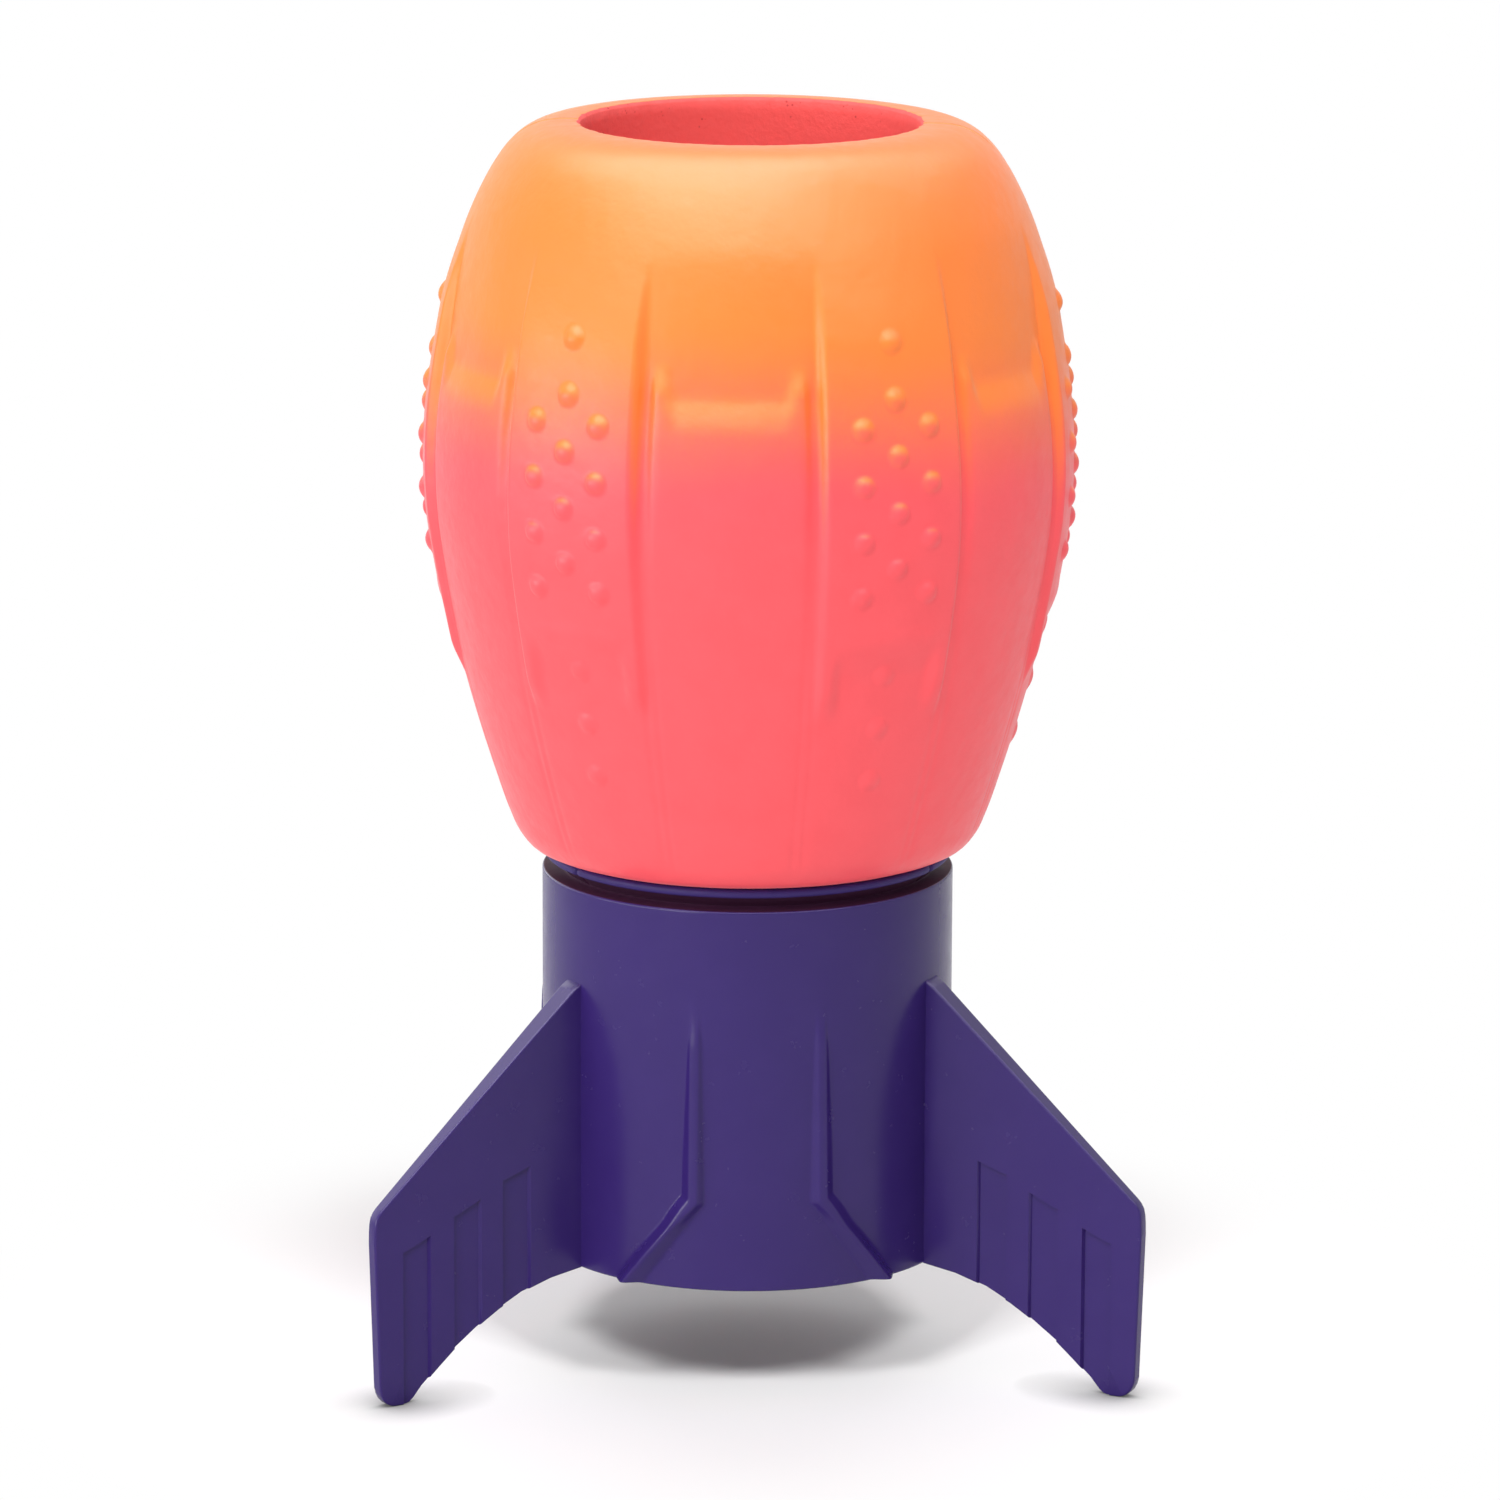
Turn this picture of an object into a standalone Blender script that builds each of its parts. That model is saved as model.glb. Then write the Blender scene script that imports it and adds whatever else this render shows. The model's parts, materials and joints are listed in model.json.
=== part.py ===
"""Finned throwing ball: a hollow foam barrel on a plastic tail tube with three fins.

Units are metres in the scene. The dimensions below are millimetres and pass through MM.
+Z runs from the tail to the nose. Azimuths are degrees from -Y, positive towards +X.
The model stands on its three fin tips at z = 0.
"""
import math

import bmesh
import bpy
from mathutils import Matrix, Vector

MM = 0.001
GAP = 0.3                      # clearance between neighbouring pieces

# Whole object
FIN_REACH = 80.8               # axis to the outer edge of a fin
FIN_COUNT = 3
AXIS_Y = -11.385               # puts the middle of the ball's box at y = 0
FOAM_TWIST = -5.7              # the barrel is glued on a little turned against the fins

# Foam barrel: height and radius of its smooth outer skin, nose to foot
NOSE_HEIGHT = 229.0
FOOT_HEIGHT = 95.6
BARREL_SKIN = [
    (229.0, 34.6), (228.4, 38.2), (227.0, 41.2), (224.5, 44.0), (221.0, 46.5), (217.0, 48.7),
    (212.0, 50.9), (206.0, 52.6), (198.0, 54.4), (188.0, 56.2), (178.0, 57.6), (168.0, 58.1),
    (158.0, 57.6), (150.0, 56.4), (140.0, 54.5), (130.0, 52.3), (120.0, 49.6), (110.0, 46.5),
    (103.0, 44.1), (99.0, 42.3), (96.6, 40.2), (95.6, 37.6),
]
BARREL_LEVELS = [
    229.0, 228.4, 227.0, 224.5, 221.0, 217.0, 214.0, 208.0, 202.0, 196.0, 190.5, 187.2, 184.0, 177.0,
    170.0, 163.0, 156.0, 149.0, 142.0, 140.0, 136.0, 133.0, 130.0, 124.0, 117.0, 110.0, 103.0, 99.0,
    96.6, 95.6,
]
BORE_RADIUS = 30.7
BORE_BEVEL = 0.6
SOCKET_RADIUS = 34.4

# Panels moulded into the barrel: grip panels and smooth panels alternate
PANEL_PAIRS = 6
SECTOR = 360.0 / PANEL_PAIRS
GRIP_RISE = 1.2                # how far a grip panel stands proud
GRIP_TOP = (196.0, 214.0)      # full height below the first, gone above the second
GRIP_FOOT = (130.0, 133.0)
GRIP_EDGE = (12.5, 14.3)       # half angles of a grip panel's top and foot
STEP_HEIGHTS = (140.0, 142.0)  # its middle steps down here, between two edge strips
STEP_EDGE = (9.2, 10.8)
SCOOP_DEPTH = 1.3              # the strip between two grip panels is scooped out this deep
SCOOP_FADES = (130.0, 214.0)   # and runs out to nothing at these heights
SCOOP_DEEPEST = 187.2
SCOOP_POWER = 1.5
PAD_EDGE = (13.0, 15.0)        # a pad fills the scoop's lower part and leaves a groove at each side
PAD_LEDGE = (184.0, 187.2)     # the pad's top in the middle of the strip
PAD_CORNER = (188.0, 194.2)    # and at its two sides, which reach higher
PAD_MIDDLE = (10.2, 12.0)      # half angles where its middle ends and its sides begin
# Half a sector's columns of points, from a grip panel's middle to a smooth panel's middle
COLUMNS = [0.0, 9.2, 10.8, 12.5, 14.3, 15.0, 17.0, 18.0, 19.8, 30.0]

# Bumps on the grip panels
BUMP_RADIUS = 2.2              # at its sunk foot
BUMP_CROWN = 1.0
BUMP_HEIGHT = 0.85
BUMP_PITCH = 10.0
BUMP_COLUMN_ANGLE = 6.4
MIDDLE_BUMPS = [197.2 - BUMP_PITCH * row for row in range(5)]
SIDE_BUMPS = [182.2 - BUMP_PITCH * row for row in range(4)]
FAINT_BUMPS = [137.0 - BUMP_PITCH * row for row in range(3)]
FAINT_SHARE = 0.5              # height of a faint bump against a full one
BUMP_SIDES = 6
BUMP_SINK = 0.5

# Tail tube, with the spigot that plugs into the barrel
TUBE_RADIUS = 37.8
TUBE_BOTTOM = 20.3
TUBE_TOP = 91.3
TUBE_WALL = 2.4
TUBE_STEPS = 60
GROOVE_RADIUS = 36.5
GROOVE_TOP = 93.6
BEAD_RADIUS = 37.5
BEAD_TOP = FOOT_HEIGHT - GAP
SPIGOT_RADIUS = 33.2
SPIGOT_INNER = 31.1
SPIGOT_TOP = 121.5
CONE_HEIGHTS = (84.0, 91.0)    # the inside narrows here from the tube to the spigot
EDGE_BREAK = 0.4
CUTTER_MARGIN = 5.0            # how far a cutter reaches past what it cuts

# Glue film between the spigot and the barrel's socket
GLUE_OUTER = SOCKET_RADIUS - GAP
GLUE_INNER = SPIGOT_RADIUS + GAP
GLUE_BOTTOM = BEAD_TOP + GAP
GLUE_TOP = 120.8

# Swept ribs on the tube, a pair between each two fins
RIB_ANGLE = 18.2               # a rib's straight stretch, from the middle between two fins
RIB_END_ANGLE = 39.5           # its foot, swept towards the fin
RIB_BEND = 37.3
RIB_FOOT_WIDTH = 3.4
RIB_CREST_WIDTH = 1.5
RIB_SINK = 0.9
RIB_END = TUBE_BOTTOM + 0.35
RIB_STATIONS = [(75.0, -0.5), (66.0, 0.7), (52.0, 1.3), (RIB_BEND, 1.8), (TUBE_BOTTOM - 2.0, 2.7)]

# Fins: outline as points of reach from the axis and height, from the root's top round the tip
ROOT_THICKNESS = 4.8           # a fin tapers evenly from its root
TIP_THICKNESS = 2.5            # to its outer edge
KEY_DEPTH = 1.2                # how far a fin's root reaches into the tube's wall
ROOT_TOP = 74.7
FIN_LEADING = [(39.3, 73.6), (79.3, 37.2)]
FIN_SHOULDER = [(80.3, 35.8), (80.7, 33.8), (FIN_REACH, 31.0)]
FIN_TIP = [(79.9, 3.6), (79.1, 1.6), (77.8, 0.35)]
FIN_FOOT = [(76.8, 0.0), (74.3, 0.0)]          # the flat that the ball stands on
FIN_HEEL = [(72.7, 0.8), (71.0, 2.9), (67.5, 6.0), (64.0, 9.0)]
FIN_TRAILING = [(59.5, 12.2), (55.0, 14.6), (50.0, 16.8), (44.0, 18.5), (TUBE_RADIUS, 19.9)]
FIN_EDGE_BREAK = 0.45
FIN_EDGE_ANGLE = 60            # only edges sharper than this are broken
# Three panels sunk in each face, open at the fin's lower edge: inner and outer side, and their tops
PANEL_SPANS = [(48.3, 54.2), (58.6, 64.4), (69.2, 75.0)]
PANEL_TOPS = [(41.2, 39.3), (36.5, 34.0), (31.1, 28.8)]
PANEL_DEPTH = 0.4

# Colours
ORANGE_CORAL = (1.0, 0.15, 0.14, 1.0)
PURPLE = (0.062, 0.035, 0.2, 1.0)
GLUE_CLEAR = (0.75, 0.66, 0.42, 1.0)


def clear_scene():
    """Remove what the file opened with."""
    for item in list(bpy.data.objects):
        bpy.data.objects.remove(item, do_unlink=True)


def new_collection(name):
    """Make a collection in the scene."""
    group = bpy.data.collections.new(name)
    bpy.context.scene.collection.children.link(group)
    return group


def add_object(name, mesh, group):
    """Put a mesh in the scene as a named object, with the ball's axis as its origin."""
    item = bpy.data.objects.new(name, mesh)
    item.location = (0.0, AXIS_Y * MM, 0.0)
    group.objects.link(item)
    return item


def evaluated_mesh(item):
    """Return the mesh that an object has after its modifiers."""
    graph = bpy.context.evaluated_depsgraph_get()
    graph.update()
    return bpy.data.meshes.new_from_object(item.evaluated_get(graph))


def smooth_shade(item, angle=30.0):
    """Shade round faces smooth and keep the sharp edges."""
    item.data.shade_smooth()
    item.data.set_sharp_from_angle(angle=math.radians(angle))


def material(name, colour, roughness):
    """A plain finish."""
    finish = bpy.data.materials.new(name)
    finish.use_nodes = True
    shader = finish.node_tree.nodes["Principled BSDF"]
    shader.inputs["Base Color"].default_value = colour
    shader.inputs["Roughness"].default_value = roughness
    shader.inputs["Metallic"].default_value = 0.0
    return finish


def boolean(item, other, operation):
    """Join or cut an object with another one."""
    step = item.modifiers.new(operation.title(), "BOOLEAN")
    step.operation = operation
    step.solver = "EXACT"
    step.object = other
    return step


def as_cutter(item):
    """Hide an object that only shapes another one."""
    item.hide_render = True
    item.display_type = "WIRE"
    return item


def smooth_step(value, low, high):
    """0 below low, 1 above high, and an S curve between."""
    share = min(max((value - low) / (high - low), 0.0), 1.0)
    return share * share * (3.0 - 2.0 * share)


def turned(name, profile, steps, group):
    """Turn a closed profile of (radius, height) points about the axis."""
    mesh = bpy.data.meshes.new(name)
    points = [(radius * MM, 0.0, height * MM) for radius, height in profile]
    edges = [(index, (index + 1) % len(points)) for index in range(len(points))]
    mesh.from_pydata(points, edges, [])
    item = add_object(name, mesh, group)
    screw = item.modifiers.new("Turn", "SCREW")
    screw.axis = "Z"
    screw.angle = math.tau
    screw.steps = steps
    screw.render_steps = steps
    screw.use_merge_vertices = True
    screw.merge_threshold = 0.00001
    screw.use_normal_calculate = False
    shaped = evaluated_mesh(item)
    item.modifiers.clear()
    item.data = shaped
    return item


def barrel_radius(height):
    """Radius of the barrel's smooth skin at a height, on a soft curve through BARREL_SKIN."""
    points = BARREL_SKIN
    for index in range(len(points) - 1):
        upper, lower = points[index], points[index + 1]
        if lower[0] <= height <= upper[0]:
            before = points[max(index - 1, 0)]
            after = points[min(index + 2, len(points) - 1)]
            span = lower[0] - upper[0]
            share = (height - upper[0]) / span
            slope_upper = (lower[1] - before[1]) / (lower[0] - before[0]) * span
            slope_lower = (after[1] - upper[1]) / (after[0] - upper[0]) * span
            cubed, squared = share ** 3, share ** 2
            return (
                (2 * cubed - 3 * squared + 1) * upper[1] + (cubed - 2 * squared + share) * slope_upper
                + (3 * squared - 2 * cubed) * lower[1] + (cubed - squared) * slope_lower
            )
    raise ValueError(f"no barrel at height {height}")


def panel_relief(from_grip, height):
    """How far the skin stands out at an angle from the nearest grip panel's middle."""
    from_smooth = SECTOR / 2 - from_grip
    outside = smooth_step(from_grip, *GRIP_EDGE)
    rise = (1 - smooth_step(height, *GRIP_TOP)) * smooth_step(height, *GRIP_FOOT) * (1 - outside)
    stepped = (1 - smooth_step(height, *STEP_HEIGHTS)) * (1 - smooth_step(from_grip, *STEP_EDGE))
    fade = SCOOP_FADES[1] if height > SCOOP_DEEPEST else SCOOP_FADES[0]
    share = max((height - fade) / (SCOOP_DEEPEST - fade), 0.0)
    depth = SCOOP_DEPTH * share ** SCOOP_POWER * outside
    sideways = smooth_step(from_smooth, *PAD_MIDDLE)
    low = PAD_LEDGE[0] + (PAD_CORNER[0] - PAD_LEDGE[0]) * sideways
    high = PAD_LEDGE[1] + (PAD_CORNER[1] - PAD_LEDGE[1]) * sideways
    pad = (1 - smooth_step(height, low, high)) * (1 - smooth_step(from_smooth, *PAD_EDGE))
    return GRIP_RISE * rise * (1 - stepped) - depth * (1 - pad)


def column_angles():
    """Azimuths of the barrel's columns of points, close together at the panels' edges."""
    half = COLUMNS[1:-1]
    sector = [-SECTOR / 2] + [-angle for angle in reversed(half)] + [0.0] + half
    first = FOAM_TWIST + SECTOR / 2
    return [first + SECTOR * pair + angle for pair in range(PANEL_PAIRS) for angle in sector]


def nearest_grip(azimuth):
    """Angle from an azimuth to the nearest grip panel's middle."""
    turned_by = (azimuth - FOAM_TWIST - SECTOR / 2) % SECTOR
    return min(turned_by, SECTOR - turned_by)


def at(radius, azimuth, height):
    """A point in metres, from its place round the axis."""
    angle = math.radians(azimuth)
    return Vector((radius * math.sin(angle), -radius * math.cos(angle), height)) * MM


def make_barrel_body(group):
    """The moulded foam with its bore, its socket and its panels, before the bumps."""
    outer = [(barrel_radius(height), height) for height in BARREL_LEVELS]
    inner = [
        (SOCKET_RADIUS, FOOT_HEIGHT),
        (SOCKET_RADIUS, SPIGOT_TOP + GAP),
        (BORE_RADIUS, SPIGOT_TOP + GAP),
        (BORE_RADIUS, NOSE_HEIGHT - BORE_BEVEL),
        (BORE_RADIUS + BORE_BEVEL, NOSE_HEIGHT),
    ]
    angles = column_angles()
    item = turned("foam_body", outer + inner, len(angles), group)
    for vertex in item.data.vertices:
        x, y, z = vertex.co / MM
        radius = math.hypot(x, y)
        column = round(math.atan2(y, x) / math.tau * len(angles)) % len(angles)
        radius += panel_relief(nearest_grip(angles[column]), z)
        vertex.co = at(radius, angles[column], z)
    item.data.update()
    return item


def bump_places():
    """Azimuth from the panel's middle, height and height share of a grip panel's bumps."""
    places = [(0.0, height, 1.0) for height in MIDDLE_BUMPS]
    for side in (-1, 1):
        places += [(side * BUMP_COLUMN_ANGLE, height, 1.0) for height in SIDE_BUMPS]
    places += [(0.0, height, FAINT_SHARE) for height in FAINT_BUMPS]
    return places


def make_bumps(group):
    """All the bumps as low domes, each square to the skin under it."""
    shape = bmesh.new()
    for pair in range(PANEL_PAIRS):
        for angle, height, share in bump_places():
            azimuth = FOAM_TWIST + SECTOR * (pair + 0.5) + angle
            radius = barrel_radius(height) + panel_relief(abs(angle), height)
            slope = barrel_radius(height + 1) - barrel_radius(height - 1)
            normal = (at(1.0, azimuth, -slope / 2)).normalized()
            turn = normal.to_track_quat("Z", "Y").to_matrix().to_4x4()
            tall = BUMP_SINK + BUMP_HEIGHT * share
            centre = at(radius, azimuth, height) + normal * (tall / 2 - BUMP_SINK) * MM
            bmesh.ops.create_cone(
                shape,
                cap_ends=True,
                segments=BUMP_SIDES,
                radius1=BUMP_RADIUS * MM,
                radius2=BUMP_CROWN * MM,
                depth=tall * MM,
                matrix=Matrix.Translation(centre) @ turn,
            )
    mesh = bpy.data.meshes.new("bumps")
    shape.to_mesh(mesh)
    shape.free()
    return add_object("bumps", mesh, group)


def make_foam_body(group, cutters):
    """The foam barrel, with its bumps grown out of the grip panels."""
    body = make_barrel_body(group)
    bumps = as_cutter(make_bumps(cutters))
    boolean(body, bumps, "UNION")
    body.data.materials.append(material("painted_foam", ORANGE_CORAL, 0.75))
    smooth_shade(body)
    return body


def tube_profile():
    """Closed outline of the tail tube: down its outer side, then up its inside."""
    inner = TUBE_RADIUS - TUBE_WALL
    return [
        (SPIGOT_INNER + EDGE_BREAK, SPIGOT_TOP),
        (SPIGOT_RADIUS - EDGE_BREAK, SPIGOT_TOP),
        (SPIGOT_RADIUS, SPIGOT_TOP - EDGE_BREAK),
        (SPIGOT_RADIUS, BEAD_TOP),
        (BEAD_RADIUS - 2 * EDGE_BREAK, BEAD_TOP),
        (BEAD_RADIUS - EDGE_BREAK / 2, BEAD_TOP - EDGE_BREAK / 2),
        (BEAD_RADIUS, (BEAD_TOP + GROOVE_TOP) / 2),
        (BEAD_RADIUS - EDGE_BREAK / 2, GROOVE_TOP + EDGE_BREAK / 2),
        (GROOVE_RADIUS, GROOVE_TOP - EDGE_BREAK / 2),
        (GROOVE_RADIUS, TUBE_TOP + EDGE_BREAK),
        (TUBE_RADIUS - EDGE_BREAK, TUBE_TOP),
        (TUBE_RADIUS, TUBE_TOP - EDGE_BREAK),
        (TUBE_RADIUS, TUBE_BOTTOM + EDGE_BREAK / 2),
        (TUBE_RADIUS - EDGE_BREAK / 2, TUBE_BOTTOM),
        (inner, TUBE_BOTTOM),
        (inner, CONE_HEIGHTS[0]),
        (SPIGOT_INNER, CONE_HEIGHTS[1]),
        (SPIGOT_INNER, SPIGOT_TOP - EDGE_BREAK),
    ]


def rib_path(side):
    """Middle line of a rib as (azimuth, height, rise), from its faded top to its foot."""
    path = []
    for height, rise in RIB_STATIONS:
        swept = max(RIB_BEND - height, 0.0) / (RIB_BEND - TUBE_BOTTOM)
        azimuth = side * (RIB_ANGLE + (RIB_END_ANGLE - RIB_ANGLE) * swept)
        path.append((azimuth, height, rise))
    return path


def rib_sections(side, middle):
    """Four points across a rib at each station: sunk feet and crest, mitred at the bend."""
    degrees_per_mm = 360.0 / (math.tau * TUBE_RADIUS)
    sweep = math.atan2((RIB_END_ANGLE - RIB_ANGLE) / degrees_per_mm, RIB_BEND - TUBE_BOTTOM)
    sections = []
    for azimuth, height, rise in rib_path(side):
        lean = 0.0 if height > RIB_BEND else sweep
        lean = sweep / 2 if height == RIB_BEND else lean
        stretch = 1 / math.cos(sweep / 2) if height == RIB_BEND else 1.0
        section = []
        for width, radius in (
            (-RIB_FOOT_WIDTH, TUBE_RADIUS - RIB_SINK),
            (-RIB_CREST_WIDTH, TUBE_RADIUS + rise),
            (RIB_CREST_WIDTH, TUBE_RADIUS + rise),
            (RIB_FOOT_WIDTH, TUBE_RADIUS - RIB_SINK),
        ):
            across = width / 2 * stretch
            around = across * math.cos(lean) * degrees_per_mm
            up = side * across * math.sin(lean)
            section.append(at(radius, middle + azimuth + around, height + up))
        sections.append(section)
    return sections


def make_ribs(group):
    """Every rib as a closed loft, sunk into the tube's wall."""
    shape = bmesh.new()
    for fin in range(FIN_COUNT):
        for side in (-1, 1):
            sections = rib_sections(side, 360.0 / FIN_COUNT * fin)
            rings = [[shape.verts.new(point) for point in section] for section in sections]
            for upper, lower in zip(rings, rings[1:]):
                for index in range(4):
                    after = (index + 1) % 4
                    shape.faces.new((upper[index], lower[index], lower[after], upper[after]))
            shape.faces.new(rings[0])
            shape.faces.new(list(reversed(rings[-1])))
    bmesh.ops.recalc_face_normals(shape, faces=shape.faces)
    bmesh.ops.triangulate(shape, faces=shape.faces)
    mesh = bpy.data.meshes.new("ribs")
    shape.to_mesh(mesh)
    shape.free()
    return add_object("ribs", mesh, group)


def make_key_slots(group):
    """Cutters for the grooves in the tube's wall that the fins' roots key into."""
    shape = bmesh.new()
    floor = TUBE_RADIUS - KEY_DEPTH - GAP
    reach = TUBE_RADIUS + CUTTER_MARGIN
    top = ROOT_TOP + GAP
    bottom = TUBE_BOTTOM - CUTTER_MARGIN
    for fin in range(FIN_COUNT):
        azimuth = fin_azimuth(fin)
        size = (ROOT_THICKNESS + 2 * GAP, reach - floor, top - bottom)
        place = Matrix.Translation(at((floor + reach) / 2, azimuth, (top + bottom) / 2))
        turn = Matrix.Rotation(math.radians(azimuth), 4, "Z")
        scale = Matrix.Diagonal((size[0] * MM, size[1] * MM, size[2] * MM, 1.0))
        bmesh.ops.create_cube(shape, size=1.0, matrix=place @ turn @ scale)
    mesh = bpy.data.meshes.new("key_slots")
    shape.to_mesh(mesh)
    shape.free()
    return add_object("key_slots", mesh, group)


def make_tail_tube(group, cutters):
    """The tail tube with its bead, groove, spigot, swept ribs and key slots."""
    tube = turned("tail_tube", tube_profile(), TUBE_STEPS, group)
    ribs = as_cutter(make_ribs(cutters))
    trim = as_cutter(turned("rib_trim", ring_below(RIB_END), TUBE_STEPS, cutters))
    slots = as_cutter(make_key_slots(cutters))
    boolean(ribs, trim, "DIFFERENCE")
    boolean(tube, ribs, "UNION")
    boolean(tube, slots, "DIFFERENCE")
    tube.data.materials.append(material("tail_plastic", PURPLE, 0.42))
    smooth_shade(tube)
    return tube


def ring_below(height):
    """Outline of a ring that trims the ribs' ends off level, near the tube's lower edge."""
    return [
        (TUBE_RADIUS + CUTTER_MARGIN, height),
        (TUBE_RADIUS + CUTTER_MARGIN, height - CUTTER_MARGIN),
        (TUBE_RADIUS - CUTTER_MARGIN, height - CUTTER_MARGIN),
        (TUBE_RADIUS - CUTTER_MARGIN, height),
    ]


def fin_azimuth(fin):
    """Azimuth of a fin: two in front at either side, one behind."""
    return 360.0 / FIN_COUNT * (fin + 0.5)


def fin_outline():
    """Points of a fin's flat outline, from its root's top round the tip and back."""
    root = TUBE_RADIUS - KEY_DEPTH
    keyed = [(root, TUBE_BOTTOM), (root, ROOT_TOP), (TUBE_RADIUS, ROOT_TOP)]
    return keyed + FIN_LEADING + FIN_SHOULDER + FIN_TIP + FIN_FOOT + FIN_HEEL + FIN_TRAILING


def fin_thickness(reach):
    """How thick a fin is at a distance from the axis."""
    root = TUBE_RADIUS - KEY_DEPTH
    share = (reach - root) / (FIN_REACH - root)
    return ROOT_THICKNESS + (TIP_THICKNESS - ROOT_THICKNESS) * share


def tapered_plate(name, outline, faces, group):
    """A plate cut to an outline that stands upright in the plane of the axis and tapers as a fin does.

    Each of its two faces is the side of the fin that it lies on and how far it is proud of it there.
    """
    curve = bpy.data.curves.new(name, "CURVE")
    curve.dimensions = "2D"
    curve.fill_mode = "BOTH"
    curve.extrude = MM
    spline = curve.splines.new("POLY")
    spline.points.add(len(outline) - 1)
    for point, (reach, height) in zip(spline.points, outline):
        point.co = (reach * MM, height * MM, 0.0, 1.0)
    spline.use_cyclic_u = True
    flat = bpy.data.objects.new(name, curve)
    group.objects.link(flat)
    mesh = evaluated_mesh(flat)
    bpy.data.objects.remove(flat, do_unlink=True)
    shape = bmesh.new()
    shape.from_mesh(mesh)
    bmesh.ops.remove_doubles(shape, verts=shape.verts, dist=0.00001)
    for vertex in shape.verts:
        side, proud = faces[0] if vertex.co.z < 0 else faces[1]
        vertex.co.z = side * (fin_thickness(vertex.co.x / MM) / 2 + proud) * MM
    bmesh.ops.recalc_face_normals(shape, faces=shape.faces)
    shape.to_mesh(mesh)
    shape.free()
    mesh.name = name
    return add_object(name, mesh, group)


def stand_up(item, azimuth):
    """Turn a plate from the flat into its radial plane."""
    upright = Matrix.Rotation(math.radians(90), 4, "X")
    item.rotation_euler = (Matrix.Rotation(math.radians(azimuth - 90), 4, "Z") @ upright).to_euler()


def panel_outline(span, tops):
    """Outline of the cutter for one sunk panel, which runs on past the fin's lower edge."""
    floor = -CUTTER_MARGIN
    return [(span[0], floor), (span[0], tops[0]), (span[1], tops[1]), (span[1], floor)]


def make_fin(name, azimuth, group, cutters):
    """One fin: a thin tapered plate with three sunk panels in each face."""
    plate = tapered_plate(name, fin_outline(), ((-1, 0.0), (1, 0.0)), group)
    edge = plate.modifiers.new("Edge", "BEVEL")
    edge.width = FIN_EDGE_BREAK * MM
    edge.segments = 1
    edge.limit_method = "ANGLE"
    edge.angle_limit = math.radians(FIN_EDGE_ANGLE)
    for index, (span, tops) in enumerate(zip(PANEL_SPANS, PANEL_TOPS)):
        for side in (-1, 1):
            faces = ((side, -PANEL_DEPTH), (side, CUTTER_MARGIN))
            if side < 0:
                faces = tuple(reversed(faces))
            title = f"{name}_panel_{index + 1}_{'left' if side < 0 else 'right'}"
            panel = as_cutter(tapered_plate(title, panel_outline(span, tops), faces, cutters))
            stand_up(panel, azimuth)
            boolean(plate, panel, "DIFFERENCE")
    stand_up(plate, azimuth)
    plate.data.materials.append(material(f"{name}_plastic", PURPLE, 0.42))
    smooth_shade(plate)
    return plate


def make_glue_film(group):
    """The film of glue that holds the spigot in the barrel's socket."""
    profile = [
        (GLUE_OUTER, GLUE_TOP),
        (GLUE_OUTER, GLUE_BOTTOM),
        (GLUE_INNER, GLUE_BOTTOM),
        (GLUE_INNER, GLUE_TOP),
    ]
    film = turned("glue_film", profile, TUBE_STEPS, group)
    film.data.materials.append(material("clear_glue", GLUE_CLEAR, 0.3))
    smooth_shade(film)
    return film


def main():
    """Build the ball."""
    clear_scene()
    ball = new_collection("finned_throwing_ball")
    cutters = new_collection("cutters")
    make_foam_body(ball, cutters)
    make_tail_tube(ball, cutters)
    make_glue_film(ball)
    for fin, name in enumerate(("fin_front_right", "fin_rear", "fin_front_left")):
        make_fin(name, fin_azimuth(fin), ball, cutters)


main()
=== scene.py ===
"""The looks of the finned throwing ball: its fine surfaces, its finishes, the studio and the camera.

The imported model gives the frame, in metres. Sizes below are millimetres and pass through MM.
Azimuths are degrees about the ball's own axis, from -Y and positive towards +X.
"""
import json
import math

import bmesh
import bpy
import numpy as np
from mathutils import Matrix, Vector

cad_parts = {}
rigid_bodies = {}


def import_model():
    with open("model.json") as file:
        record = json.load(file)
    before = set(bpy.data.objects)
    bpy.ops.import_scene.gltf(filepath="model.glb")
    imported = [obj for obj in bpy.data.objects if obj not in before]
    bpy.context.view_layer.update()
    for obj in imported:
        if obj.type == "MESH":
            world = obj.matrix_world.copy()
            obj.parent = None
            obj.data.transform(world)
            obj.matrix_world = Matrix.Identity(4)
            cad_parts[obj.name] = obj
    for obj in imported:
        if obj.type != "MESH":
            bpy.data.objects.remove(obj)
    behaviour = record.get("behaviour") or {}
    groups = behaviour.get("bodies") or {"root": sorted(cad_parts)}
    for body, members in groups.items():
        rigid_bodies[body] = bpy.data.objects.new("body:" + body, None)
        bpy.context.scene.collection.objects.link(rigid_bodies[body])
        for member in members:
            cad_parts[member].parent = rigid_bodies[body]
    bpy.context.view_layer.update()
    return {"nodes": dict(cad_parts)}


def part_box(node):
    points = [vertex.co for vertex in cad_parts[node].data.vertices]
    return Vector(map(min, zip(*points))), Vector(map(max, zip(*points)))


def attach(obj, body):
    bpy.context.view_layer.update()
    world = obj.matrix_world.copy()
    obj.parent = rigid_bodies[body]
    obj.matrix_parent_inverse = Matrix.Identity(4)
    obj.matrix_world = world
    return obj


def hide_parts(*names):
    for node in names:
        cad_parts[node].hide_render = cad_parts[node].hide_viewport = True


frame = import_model()

MM = 0.001
SMALLEST_GAP = 1e-6            # keeps a spline's slopes finite where two of its points meet


def node_box(name):
    """Lowest and highest corner of a CAD node, in millimetres."""
    return [[value / MM for value in corner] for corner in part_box(name)]


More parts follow.
